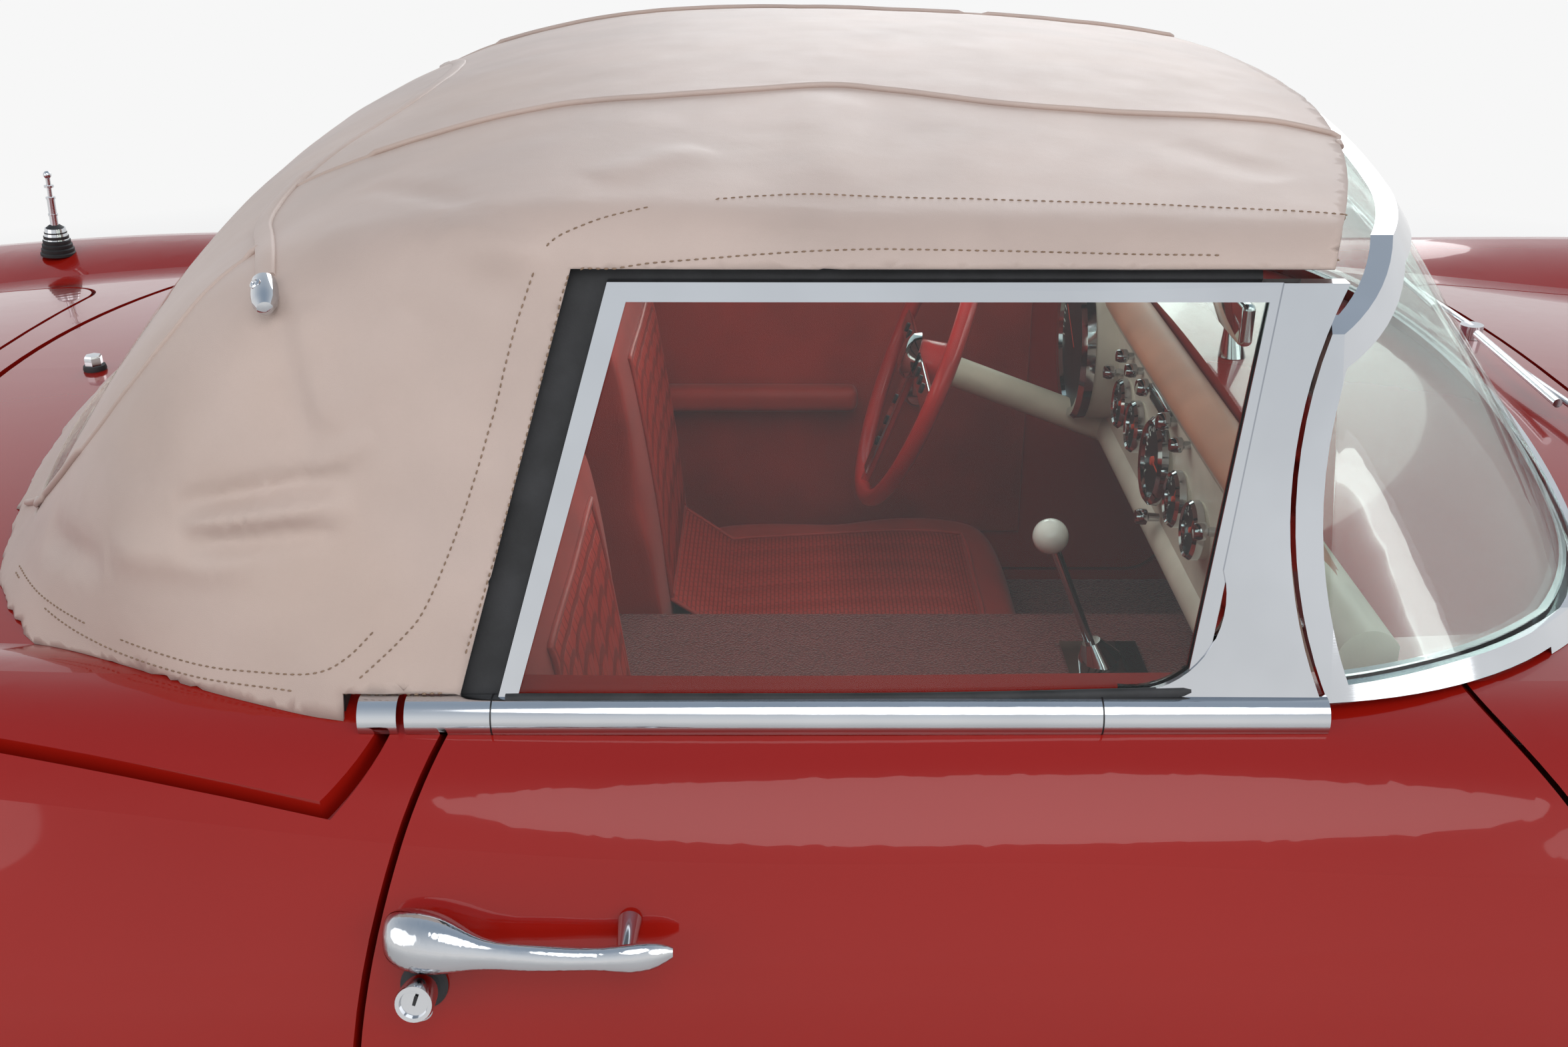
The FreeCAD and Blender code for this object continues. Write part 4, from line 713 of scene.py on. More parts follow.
CLOTH_FLAT_WIDTH = 1.95
CLOTH_SOLID_THICKEST = 0.014
CLOTH_CUTS = (0.014, 0.016, 0.014)
CLOTH_MERGE = 0.0012
CLOTH_SLIVER = 0.0004
CLOTH_SLACK = 0.8
SAME_SPOT = 2e-5


def on_fold(spot, start, end):
    """Share of a fold's length at which it is nearest to a point, and the distance there."""
    start, end = Vector(start), Vector(end)
    along = end - start
    share = max(0.0, min(1.0, (spot - start).dot(along) / along.length_squared))
    return share, (spot - start - along * share).length


def fold_height(point):
    """Height of the folds at a point of the top; the left side has them too, a little weaker."""
    strength = 1.0 if point.y < 0 else 0.8
    spot = Vector((point.x, -abs(point.y), point.z))
    height = 0.0012 * noise.noise(point * 9) + 0.0006 * noise.noise(point * 23)
    for start, end, width, rise in FOLDS:
        share, gap = on_fold(spot, start, end)
        fade = 1 - abs(2 * share - 1) ** 3
        height += strength * rise * fade * math.exp(-(gap / width) ** 2)
    return height


def near_a_fold(point):
    """Whether a point of the top lies on one of its folds."""
    spot = Vector((point.x, -abs(point.y), point.z))
    return any(on_fold(spot, start, end)[1] < 2 * width for start, end, width, _ in FOLDS)


def cut_fine(shape, low, high, axis):
    """Cuts the cloth's mesh along evenly spaced planes across an axis."""
    count = int((high[axis] - low[axis]) / CLOTH_CUTS[axis])
    normal = Vector([1.0 if index == axis else 0.0 for index in range(3)])
    for index in range(1, count):
        place = normal * (low[axis] + (high[axis] - low[axis]) * index / count)
        bmesh.ops.bisect_plane(shape, geom=shape.verts[:] + shape.edges[:] + shape.faces[:], dist=1e-6,
                               plane_co=place, plane_no=normal)


def even_out(shape, times):
    """Evens the mesh of a cloth between its edges, which stay in place."""
    bmesh.ops.dissolve_degenerate(shape, edges=shape.edges[:], dist=CLOTH_SLIVER)
    inside = [vertex for vertex in shape.verts if not vertex.is_boundary]
    for _ in range(times):
        bmesh.ops.smooth_vert(shape, verts=inside, factor=0.4,
                              use_axis_x=True, use_axis_y=True, use_axis_z=True)
    shape.normal_update()


def keep_outer_faces(shape):
    """Leaves the outer faces of the solid cloth: those that look out and have its inner face close behind."""
    solid = BVHTree.FromBMesh(shape)
    others = []
    for face in shape.faces:
        middle = face.calc_center_median()
        behind = solid.ray_cast(middle - face.normal * 0.0005, -face.normal)[3]
        looks_in = face.normal.dot(middle - CABIN_MIDDLE) < 0
        if looks_in or behind is None or behind > CLOTH_SOLID_THICKEST:
            others.append(face)
    bmesh.ops.delete(shape, geom=others, context="FACES")


class CAR_OT_top_cloth(bpy.types.Operator):
    """Stretches the coated cloth over the bows, with its folds"""
    bl_idname = "car.top_cloth"
    bl_label = "Top cloth"

    def execute(self, context):
        shape = bmesh.new()
        shape.from_mesh(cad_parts["soft_top"].data)
        bmesh.ops.remove_doubles(shape, verts=shape.verts, dist=SAME_SPOT)
        keep_outer_faces(shape)
        low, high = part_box("soft_top")
        for axis in (0, 2, 1):
            cut_fine(shape, low, high, axis)
        bmesh.ops.remove_doubles(shape, verts=shape.verts, dist=CLOTH_MERGE)
        creased = [edge for edge in shape.edges if near_a_fold((edge.verts[0].co + edge.verts[1].co) / 2)]
        bmesh.ops.subdivide_edges(shape, edges=creased, cuts=1, use_grid_fill=True)
        bmesh.ops.triangulate(shape, faces=[face for face in shape.faces if len(face.verts) > 4])
        even_out(shape, 3)
        for vertex in shape.verts:
            vertex.co += vertex.normal * fold_height(vertex.co)
        even_out(shape, 1)
        area = sum(face.calc_area() for face in shape.faces)
        cloth = from_bmesh(shape)
        thick = cloth.modifiers.new("cloth", "SOLIDIFY")
        thick.thickness = context.scene.car_sizes.cloth_thickness
        thick.offset = -1
        apply_modifiers(cloth)
        settle(cloth, "top_cloth", "cloth", "car", 75, ("soft_top",))
        length = round(area / (CLOTH_SLACK * CLOTH_FLAT_WIDTH), 2)
        return {"FINISHED"}


class CAR_OT_top_seams(bpy.types.Operator):
    """Sews the seams, the piping and the rear bow's cover strip onto the cloth"""
    bl_idname = "car.top_seams"
    bl_label = "Top seams"

    def execute(self, context):
        welt = context.scene.car_sizes.welt_radius
        skin = surface_of(bpy.data.objects["top_cloth"])
        rows = []
        welts = []
        for name, side in SIDES:
            def sided(points):
                return [Vector((x, -side * y, z)) for x, y, z in points]

            for guide in (STITCH_HIGH, STITCH_EDGE, HEM_ARC, HEM_EDGE):
                rows.append(stitch_row(skin, sided(guide)))
            for guide in (WELT, REAR_SEAM):
                spots = laid_on(skin, smooth_path(sided(guide), 0.008), welt * 0.5, CABIN_MIDDLE)
                welts.append(tube("welt", [spot for spot, _ in spots], welt, "cloth", "car"))
            (above, _), (spot, normal) = laid_on(skin, sided(BOW[-2:]), 0.004, CABIN_MIDDLE)
            down = spot - above
            cap = turned_piece([(0, -0.004), (0.0095, -0.004), (0.0105, 0.004), (0.0105, 0.016),
                                (0.0095, 0.024), (0.0062, 0.031), (0, 0.034)], spot, down, 24)
            screw = turned_piece([(0.0046, -0.002), (0.0046, 0.0018), (0.003, 0.0026), (0.0022, 0.0012),
                                  (0, 0.0012)], spot + normal * 0.0095 + down.normalized() * 0.008, normal, 16)
            settle(joined([cap, screw]), "bow_cap_" + name, "chrome", "car", 35)
        settle(joined(rows), "top_stitching", "thread", "car", 80)
        settle(joined(welts), "top_piping", "cloth", "car", 60)
        bow_path = smooth_path(mirrored_points(BOW[:0:-1]) + [Vector(point) for point in BOW], 0.012)
        strap("rear_bow_strip", laid_on(skin, bow_path, 0.001, CABIN_MIDDLE), 0.017, 0.0032, "cloth", "car")
        return {"FINISHED"}


BELT_HEIGHT = 0.884
BELT_JOINTS = (-0.324, 0.144)


class CAR_OT_belt_gaskets(bpy.types.Operator):
    """Fits the black strips under the door glass and the thin joints of the belt molding"""
    bl_idname = "car.belt_gaskets"
    bl_label = "Belt gaskets"

    def execute(self, context):
        for name, side in SIDES:
            glass = surface_of(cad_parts["door_glass_" + name])
            guide = [(x, side * y, BELT_HEIGHT) for x, y in ((-0.315, 0.762), (0.0, 0.762), (0.228, 0.745))]
            spots = laid_on(glass, smooth_path(guide, 0.02), 0.002, Vector((0, 0, BELT_HEIGHT)))
            tube("glass_wiper_" + name, [spot for spot, _ in spots], 0.0042, "rubber", "door_" + name)
            joints = [turned_piece([(0, -0.0006), (0.0164, -0.0006), (0.0164, 0.0006), (0, 0.0006)],
                                   (x, side * 0.752, 0.866), (1, 0, 0), 40) for x in BELT_JOINTS]
            settle(joined(joints), "belt_joints_" + name, "dial", "door_" + name, 30)
        return {"FINISHED"}


def puffed(profile, y_low, y_high, shoulder, crown, stations=26):
    """Stuffed form: a closed side profile of (x, z) points, carried across the car, narrower at its ends."""
    shape = bmesh.new()
    middle_x = sum(point[0] for point in profile) / len(profile)
    middle_z = sum(point[1] for point in profile) / len(profile)
    middle_y = (y_low + y_high) / 2
    half = (y_high - y_low) / 2
    rings = []
    for station in range(stations + 1):
        turn = math.pi * station / stations
        spread = -math.cos(turn)
        y = middle_y + half * math.copysign(abs(spread) ** 0.72, spread)
        inset = shoulder * (1 - max(0.0, math.sin(turn)) ** 0.45)
        swell = crown * (1 - spread * spread)
        ring = []
        for x, z in profile:
            away = Vector((x - middle_x, z - middle_z))
            size = away.length
            away.normalize()
            ring.append(shape.verts.new((middle_x + away.x * (size - inset + swell), y,
                                         middle_z + away.y * (size - inset + swell))))
        rings.append(ring)
    return skinned(shape, rings)


SEAT_CUSHION = [(-0.262, 0.300), (0.225, 0.300), (0.246, 0.345), (0.238, 0.402), (0.120, 0.424),
                (-0.080, 0.416), (-0.240, 0.398), (-0.270, 0.350)]
SEAT_BACK = [(-0.372, 0.400), (-0.270, 0.404), (-0.268, 0.520), (-0.288, 0.700), (-0.318, 0.865),
             (-0.350, 0.898), (-0.384, 0.876), (-0.388, 0.700), (-0.384, 0.520)]
# The panels of cushion and back: corner and way of the panel, then those of its piping, as (x, z)
SEAT_PANELS = (
    ((-0.225, 0.47), (0.42, 0.01), (-0.232, 0.47), (0.434, 0.01)),
    ((-0.22, 0.47), (-0.04, 0.36), (-0.22, 0.463), (-0.04, 0.374)),
)
PIPING_LOOP = ((0.03, 0), (0.5, 0), (0.97, 0), (1, 0.05), (1, 0.5), (1, 0.95), (0.97, 1), (0.5, 1),
               (0.03, 1), (0, 0.95), (0, 0.5), (0, 0.05), (0.03, 0))
PANEL_ROWS = 24
PANEL_COLUMNS = 30
PANEL_MARGIN = 0.085
PIPING_GAP = 0.006


def insert_patch(tree, corner, across, up):
    """Sewn-in panel that lies on a stuffed form, with a quilted puff between its channels."""
    shape = bmesh.new()
    grid = []
    for row in range(PANEL_ROWS + 1):
        line = []
        for column in range(PANEL_COLUMNS + 1):
            u = column / PANEL_COLUMNS
            v = row / PANEL_ROWS
            spot, normal = facing(tree, corner + across * u + up * v)
            edge = min(u, 1 - u, v, 1 - v)
            puff = 0.004 * abs(math.sin(math.pi * u * 5)) ** 0.6 * min(1.0, edge * 8)
            rise = 0.003 * min(1.0, edge * 14) + puff
            line.append(shape.verts.new(spot + normal * (rise + 0.0004)))
        grid.append(line)
    for low, high in zip(grid, grid[1:]):
        for column in range(PANEL_COLUMNS):
            shape.faces.new((low[column], low[column + 1], high[column + 1], high[column]))
    bmesh.ops.recalc_face_normals(shape, faces=shape.faces)
    piece = from_bmesh(shape)
    thick = piece.modifiers.new("thick", "SOLIDIFY")
    thick.thickness = 0.0015
    thick.offset = -1
    apply_modifiers(piece)
    return piece


class CAR_OT_seats(bpy.types.Operator):
    """Stuffs the two bucket seats and sews in their panels and piping"""
    bl_idname = "car.seats"
    bl_label = "Seats"

    def execute(self, context):
        for name, side in SIDES:
            low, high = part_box("seat_" + name)
            y_low, y_high = low.y + 0.006, high.y - 0.006
            cushion = puffed(closed_profile(SEAT_CUSHION, 0.02), y_low, y_high, 0.045, 0.004)
            back = puffed(closed_profile(SEAT_BACK, 0.02), y_low, y_high, 0.035, 0.003)
            for piece in (cushion, back):
                soft = piece.modifiers.new("soft", "SUBSURF")
                soft.levels = soft.render_levels = 1
                apply_modifiers(piece)
            skin = surface_of(cushion, back)
            width = y_high - y_low - 2 * PANEL_MARGIN
            panels, pipes = [], []
            for (x, z), (rise_x, rise_z), (pipe_x, pipe_z), (pipe_rise_x, pipe_rise_z) in SEAT_PANELS:
                panels.append(insert_patch(skin, Vector((x, y_low + PANEL_MARGIN, z)), Vector((0, width, 0)),
                                           Vector((rise_x, 0, rise_z))))
                corner = Vector((pipe_x, y_low + PANEL_MARGIN - PIPING_GAP, pipe_z))
                across = Vector((0, width + 2 * PIPING_GAP, 0))
                up = Vector((pipe_rise_x, 0, pipe_rise_z))
                loop = smooth_path([corner + across * u + up * v for u, v in PIPING_LOOP], 0.01)
                spots = [facing(skin, point) for point in loop]
                pipes.append(tube("pipe", [spot + normal * 0.002 for spot, normal in spots], 0.0034,
                                  "vinyl", "car"))
            pieces = [settle(cushion, "seat_cushion_" + name, "vinyl", "car", 60, ("seat_" + name,)),
                      settle(back, "seat_back_" + name, "vinyl", "car", 60),
                      settle(joined(panels), "seat_panels_" + name, "seat_insert", "car", 60)]
            settle(joined(pipes), "seat_piping_" + name, "vinyl", "car", 60)
        return {"FINISHED"}


DASH_ROLL = [(0.352, 0.868), (0.378, 0.861), (0.393, 0.872), (0.392, 0.893), (0.374, 0.907), (0.350, 0.895),
             (0.343, 0.880)]
# Round dials: place across and radius
DIALS = ((0.0, 0.052), (-0.118, 0.032), (0.118, 0.032), (-0.205, 0.032), (0.205, 0.032))
DIAL_FACE_X = 0.3515
DIAL_HEIGHT = 0.775
SPEEDOMETER = Vector((0.3185, 0.4, 0.8))
SPEEDOMETER_RADIUS = 0.097
# Knobs: place across, height and radius
KNOBS = ((-0.06, 0.848, 0.011), (0.06, 0.848, 0.011), (0.13, 0.846, 0.009), (0.19, 0.846, 0.009),
         (-0.13, 0.846, 0.009), (-0.265, 0.80, 0.010), (0.0, 0.700, 0.010), (0.26, 0.80, 0.010))


class CAR_OT_dash(bpy.types.Operator):
    """Fits the padded roll, the dials, the radio and the knobs to the dashboard"""
    bl_idname = "car.dash"
    bl_label = "Dashboard"

    def execute(self, context):
        roll = puffed(closed_profile(DASH_ROLL, 0.006), -0.675, 0.675, 0.012, 0.0015, 40)
        settle(roll, "dash_roll", "dash_roll", "car", 60)
        rims, faces, marks, needles = [], [], [], []
        out = Vector((-1, 0, 0.05)).normalized()
        across = Vector((0, 1, 0))
        up = out.cross(across).normalized()
        up = up if up.z > 0 else -up
        for y, radius in DIALS:
            middle = Vector((DIAL_FACE_X, y, DIAL_HEIGHT))
            large = radius > 0.04
            rims.append(turned_piece([(radius * 0.84, 0.0005), (radius * 0.86, 0.006), (radius * 0.95, 0.008),
                                      (radius * 1.04, 0.004), (radius * 1.06, -0.004),
                                      (radius * 0.84, -0.004)], middle, out, 40))
            faces.append(turned_piece([(0, 0.0012), (radius * 0.86, 0.0012), (radius * 0.86, -0.001),
                                       (0, -0.001)], middle, out, 40))
            count = 21 if large else 9
            for index in range(count):
                angle = math.radians(-130 + 260 * index / (count - 1))
                way = across * math.sin(angle) + up * math.cos(angle)
                reach = 0.68 if index % 2 == 0 else 0.74
                marks.append(tick(middle + out * 0.0018 + way * radius * (reach + 0.8) / 2, way, out,
                                  radius * (0.8 - reach), radius * 0.03))
            angle = math.radians(-95 if large else -20)
            way = across * math.sin(angle) + up * math.cos(angle)
            needles.append(tick(middle + out * 0.0026 + way * radius * 0.3, way, out, radius * 0.82,
                                radius * 0.045))
            needles.append(turned_piece([(0, 0.005), (radius * 0.1, 0.0045), (radius * 0.12, 0.001),
                                         (0, 0.001)], middle, out, 16))
        back = Vector((-1, 0, 0))
        faces.append(turned_piece([(0, 0.0012), (SPEEDOMETER_RADIUS, 0.0012), (SPEEDOMETER_RADIUS, -0.001),
                                   (0, -0.001)], SPEEDOMETER, back, 56))
        rims.append(turned_piece([(0.095, 0.0005), (0.097, 0.007), (0.107, 0.009), (0.112, 0.002),
                                  (0.112, -0.01), (0.095, -0.002)], SPEEDOMETER, back, 56))
        for index in range(29):
            angle = math.radians(-100 + 200 * index / 28)
            way = Vector((0, -math.sin(angle), math.cos(angle)))
            reach = 0.80 if index % 2 == 0 else 0.86
            place = SPEEDOMETER + back * 0.0018 + way * SPEEDOMETER_RADIUS * (reach + 0.92) / 2
            marks.append(tick(place, way, back, SPEEDOMETER_RADIUS * (0.92 - reach), 0.0016))
        way = Vector((0, 0.86, 0.5)).normalized()
        needles.append(tick(SPEEDOMETER + back * 0.0026 + way * 0.03, way, back, 0.085, 0.0022))
        settle(joined(rims), "dial_rims", "chrome", "car", 30)
        settle(joined(faces), "dial_faces", "dial", "car", 30)
        settle(joined(marks), "dial_marks", "pale_mark", "car", 0)
        settle(joined(needles), "dial_needles", "needle_red", "car", 30)
        knobs = [turned_piece([(0, 0.024), (radius * 0.8, 0.023), (radius, 0.018), (radius, 0.010),
                               (radius * 0.55, 0.007), (radius * 0.5, -0.006), (0, -0.006)],
                              (0.358, y, z), (-1, 0, 0.05), 20) for y, z, radius in KNOBS]
        settle(joined(knobs), "dash_knobs", "chrome", "car", 30)
        radio = round_box((0.349, -0.048, 0.838), (0.362, 0.048, 0.860), 0.003)
        settle(radio, "radio_face", "chrome", "car", 30)
        window = round_box((0.3475, -0.034, 0.843), (0.352, 0.034, 0.855), 0.001)
        settle(window, "radio_window", "dial", "car", 30)
        return {"FINISHED"}


STEERING_RAKE = math.radians(21)
STEERING_HUB = Vector((0.095, 0.4, 0.775))
# Pedals: place across and width
PEDALS = ((0.30, 0.045), (0.45, 0.07), (0.56, 0.07))


class CAR_OT_controls(bpy.types.Operator):
    """Adds the spokes of the steering wheel, the ball of the lever, the pedals and the mirror glass"""
    bl_idname = "car.controls"
    bl_label = "Controls"

    def execute(self, context):
        forward = Vector((math.cos(STEERING_RAKE), 0, -math.sin(STEERING_RAKE)))
        across = Vector((0, 1, 0))
        upright = forward.cross(across)
        plates, holes = [], []
        for angle in (0, 180, 270):
            way = across * math.cos(math.radians(angle)) + upright * math.sin(math.radians(angle))
            plates.append(bar(STEERING_HUB + way * 0.105 - forward * 0.006, way, forward,
                              (0.17, 0.030, 0.003), 0.001, 2))
            # The holes in the spokes are drawn as black discs: painted shade in place of openings.
            for reach in (0.07, 0.105, 0.14):
                holes.append(turned_piece([(0, 0.0005), (0.0072, 0.0005), (0.0072, -0.0052), (0, -0.0052)],
                                          STEERING_HUB + way * reach - forward * 0.0045, forward, 20))
        settle(joined(plates), "steering_spokes", "chrome", "steering_wheel", 30)
        settle(joined(holes), "spoke_holes", "dial", "steering_wheel", 30)
        button = turned_piece([(0, -0.012), (0.020, -0.010), (0.031, -0.004), (0.036, 0.006), (0.030, 0.010),
                               (0, 0.010)], STEERING_HUB - forward * 0.016, forward, 40)
        settle(button, "horn_button", "chrome", "steering_wheel", 40)
        deselect()
        bpy.ops.mesh.primitive_uv_sphere_add(segments=32, ring_count=20, radius=0.0226,
                                             location=(0.232, 0, 0.674))
        settle(bpy.context.object, "lever_ball", "white_ball", "car", 80)
        glass = round_box((0.4135, -0.079, 0.948), (0.4155, 0.079, 0.992), 0.0009)
        settle(glass, "mirror_face", "mirror_glass", "car", 30)
        pedals = []
        for y, width in PEDALS:
            pedals.append(round_box((0.62, y - width / 2, 0.36), (0.635, y + width / 2, 0.36 + 0.075), 0.005))
            pedals.append(round_box((0.634, y - 0.008, 0.34), (0.668, y + 0.008, 0.40), 0.003))
        settle(joined(pedals), "pedals", "rubber", "car", 30)
        return {"FINISHED"}


WALL_STEPS = 14
WALL_MIDDLE = 0.268
WALL_REACH = 0.074
BEAD = (0.1905, 0.070)
TREAD_RIBS = 5
TREAD_PITCH = 0.028
SPINNER_TURN = 0.4
COVER_VENTS = 18
# Turned shapes as (radius, height): the wheel's cover, and the white band with heights as shares of the tyre's
COVER_PROFILE = [(0.188, 0.072), (0.193, 0.079), (0.197, 0.0795), (0.199, 0.074), (0.190, 0.066),
                 (0.180, 0.064), (0.174, 0.070), (0.150, 0.0745), (0.128, 0.066), (0.118, 0.070),
                 (0.112, 0.076), (0.085, 0.079), (0.072, 0.082), (0.064, 0.092), (0.050, 0.098),
                 (0.034, 0.1005), (0.0, 0.102)]
BAND_PROFILE = [(0.2035, 0.905), (0.207, 0.945), (0.225, 0.992), (0.245, 1.004), (0.259, 1.0),
                (0.262, 0.985), (0.245, 0.96), (0.222, 0.93), (0.2035, 0.905)]


def tyre_profile(radius, half):
    """Closed section of a tyre as (radius, height): bead, wall, ribbed tread, wall and bead."""
    wall = []
    for index in range(WALL_STEPS + 1):
        turn = math.pi * (index / WALL_STEPS - 0.5)
        wall.append((WALL_MIDDLE + WALL_REACH * math.sin(turn) - 0.001, half * (0.86 + 0.14 * math.cos(turn))))
    tread = []
    for rib in range(TREAD_RIBS):
        y = 0.056 - rib * TREAD_PITCH
        tread += [(radius - 0.0012, y), (radius, y - 0.002), (radius, y - 0.019), (radius - 0.0012, y - 0.021),
                  (radius - 0.0075, y - 0.0222), (radius - 0.0075, y - 0.0268)]
    far_wall = [(ring, -height) for ring, height in wall[-2::-1]]
    return [BEAD, *wall[:-1], *tread[:-2], *far_wall, (BEAD[0], -BEAD[1]), BEAD]


def merged(piece):
    """Closes the seam where a turned piece's first and last rings meet."""
    shape = bmesh.new()
    shape.from_mesh(piece.data)
    bmesh.ops.remove_doubles(shape, verts=shape.verts, dist=1e-6)
    bmesh.ops.recalc_face_normals(shape, faces=shape.faces)
    shape.to_mesh(piece.data)
    shape.free()
    return piece


def wheel_way(angle):
    """Way in the plane of a wheel."""
    return Vector((math.cos(angle), 0, math.sin(angle)))


class CAR_OT_wheels(bpy.types.Operator):
    """Dresses the four wheels: moulded tyres with a white band, and covers with a spinner and vents drawn as
    flat black marks of painted shade
    """
    bl_idname = "car.wheels"
    bl_label = "Wheels"

    def execute(self, context):
        corners = [(end + "_" + name, side) for end in ("front", "rear") for name, side in SIDES]
        for label, side in corners:
            low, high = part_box("tyre_" + label)
            middle = (low + high) / 2
            body = "wheel_" + label
            out = Vector((0, side, 0))
            half = (high.y - low.y) / 2
            tyre = merged(turned_piece(tyre_profile((high.z - low.z) / 2, half), middle, out, 128))
            settle(tyre, "road_tyre_" + label, "tyre", body, 40, ("tyre_" + label,))
            band = turned_piece([(radius, half * share) for radius, share in BAND_PROFILE], middle, out, 128)
            settle(band, "white_band_" + label, "white_band", body, 60)
            parts = [turned_piece(COVER_PROFILE, middle, out, 96)]
            for index in range(2):
                way = wheel_way(math.pi * index + SPINNER_TURN)
                ear = middle + way * 0.035 + out * 0.101
                parts.append(bar(ear, way, out, (0.066, 0.020, 0.010), 0.0035, 3))
            settle(joined(parts), "wheel_cover_" + label, "chrome", body, 35)
            # Painted shade: each vent is a flat black mark on the cover's face, not an opening.
            vents = []
            for index in range(COVER_VENTS):
                way = wheel_way(2 * math.pi * index / COVER_VENTS)
                vents.append(tick(middle + way * 0.152 + out * 0.0745, way, out, 0.034, 0.011))
            settle(joined(vents), "cover_vents_" + label, "black_paint", body, 0)
        return {"FINISHED"}


ANTENNA_FOOT = Vector((-1.236, 0.652, 0.862))
ANTENNA_WAY = Vector((0.04, 0, 1)).normalized()
BOOT_PITCH = 0.0065
CARD_FACE = 0.6868
CRANK_X = 0.12


class CAR_OT_outside(bpy.types.Operator):
    """Adds the small fittings: deck peg, antenna boot, locks, door cards, cranks, parking lamps and plate"""
    bl_idname = "car.outside"
    bl_label = "Small fittings"

    def execute(self, context):
        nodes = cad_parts
        deck = surface_of(nodes["top_cover_lid"], nodes["body"], nodes["trunk_lid"])
        spot, normal = outward(deck, (-0.915, -0.01, 0.893), (0, 0, 1))
        washer = turned_piece([(0, -0.002), (0.0125, -0.002), (0.0135, 0.002), (0.0125, 0.006), (0, 0.0065)],
                              spot, normal, 28)
        settle(washer, "peg_washer", "rubber", "car", 40)
        peg = turned_piece([(0, 0.004), (0.0105, 0.004), (0.0105, 0.015), (0.009, 0.018), (0, 0.0185)],
                           spot, normal, 6)
        settle(peg, "deck_peg", "chrome", "car", 25)
        ribs = [(0, 0.0)]
        for index in range(6):
            radius = 0.0262 - 0.0019 * index
            height = BOOT_PITCH * index
            ribs += [(radius, height), (radius, height + 0.0035), (radius - 0.0022, height + 0.005)]
        ribs += [(0.0135, 0.042), (0.0085, 0.046), (0.0, 0.047)]
        settle(turned_piece(ribs, ANTENNA_FOOT, ANTENNA_WAY, 40), "antenna_boot", "rubber", "car", 30)
        collars = [turned_piece([(0, 0), (0.0072, 0.001), (0.0072, 0.004), (0, 0.005)],
                                ANTENNA_FOOT + ANTENNA_WAY * height, ANTENNA_WAY, 20)
                   for height in (0.060, 0.086, 0.104)]
        settle(joined(collars), "antenna_collars", "chrome", "car", 30)
        nose = surface_of(nodes["body"])
        for name, side in SIDES:
            self.dress_door(name, side)
            lamp = nose.ray_cast(Vector((2.6, side * 0.655, 0.500)), Vector((-1, 0, 0)))[0]
            lens = turned_piece([(0, 0.020), (0.018, 0.017), (0.031, 0.008), (0.034, 0.0), (0.034, -0.012),
                                 (0, -0.012)], lamp, (1, 0, 0), 36)
            settle(lens, "park_lens_" + name, "amber_glass", "car", 40)
            bezel = turned_piece([(0.034, -0.010), (0.0345, 0.005), (0.040, 0.004), (0.043, -0.004),
                                  (0.043, -0.012), (0.034, -0.010)], lamp, (1, 0, 0), 36)
            settle(bezel, "park_rim_" + name, "chrome", "car", 40)
        plate = round_box((-2.092, -0.152, 0.500), (-2.089, 0.152, 0.652), 0.002)
        settle(plate, "rear_plate", "plate_blank", "car", 30)
        return {"FINISHED"}

    def dress_door(self, name, side):
        """Fits the lock, the inner card, the arm rest and the window crank of one door."""
        body = "door_" + name
        inward = (0, -side, 0)
        spot, normal = outward(surface_of(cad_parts[body]), (-0.367, side * 0.87, 0.706), (0, side, 0))
        plate = turned_piece([(0, -0.001), (0.0165, -0.001), (0.018, 0.002), (0.016, 0.0045), (0, 0.005)],
                             spot, normal, 32)
        settle(plate, "lock_plate_" + name, "rubber", body, 40)
        ring = turned_piece([(0.0125, 0.004), (0.0145, 0.034), (0.0135, 0.0375), (0.0105, 0.0375),
                             (0.0098, 0.034), (0.0, 0.0335)], spot, normal, 32)
        settle(ring, "lock_ring_" + name, "chrome", body, 35)
        # The key slot is a flat black mark on the lock's face: painted shade for the slot's recess.
        slot = tick(spot + normal * 0.0341, Vector((0.3, 0, 1)), normal, 0.012, 0.0024)
        settle(slot, "key_slot_" + name, "dial", body, 0)
        card = round_box((-0.400, side * CARD_FACE, 0.370), (0.300, side * 0.6892, 0.835), 0.001)
        settle(card, "door_card_" + name, "vinyl", body, 30)
        rest = round_box((-0.30, side * 0.640, 0.600), (0.02, side * CARD_FACE, 0.640), 0.014, 4)
        settle(rest, "arm_rest_" + name, "vinyl", body, 60)
        crank = turned_piece([(0, 0.012), (0.018, 0.010), (0.020, 0.004), (0.024, 0.0), (0, 0.0)],
                             (CRANK_X, side * CARD_FACE, 0.62), inward, 28)
        arm = round_box((CRANK_X - 0.01, side * 0.668, 0.620), (CRANK_X + 0.01, side * 0.675, 0.700), 0.003)
        knob = turned_piece([(0, 0.022), (0.010, 0.021), (0.0115, 0.012), (0.008, 0.0), (0, 0)],
                            (CRANK_X, side * 0.672, 0.692), inward, 24)
        settle(joined([crank, arm, knob]), "window_crank_" + name, "chrome", body, 35)


FLOOR_SIZE = 60
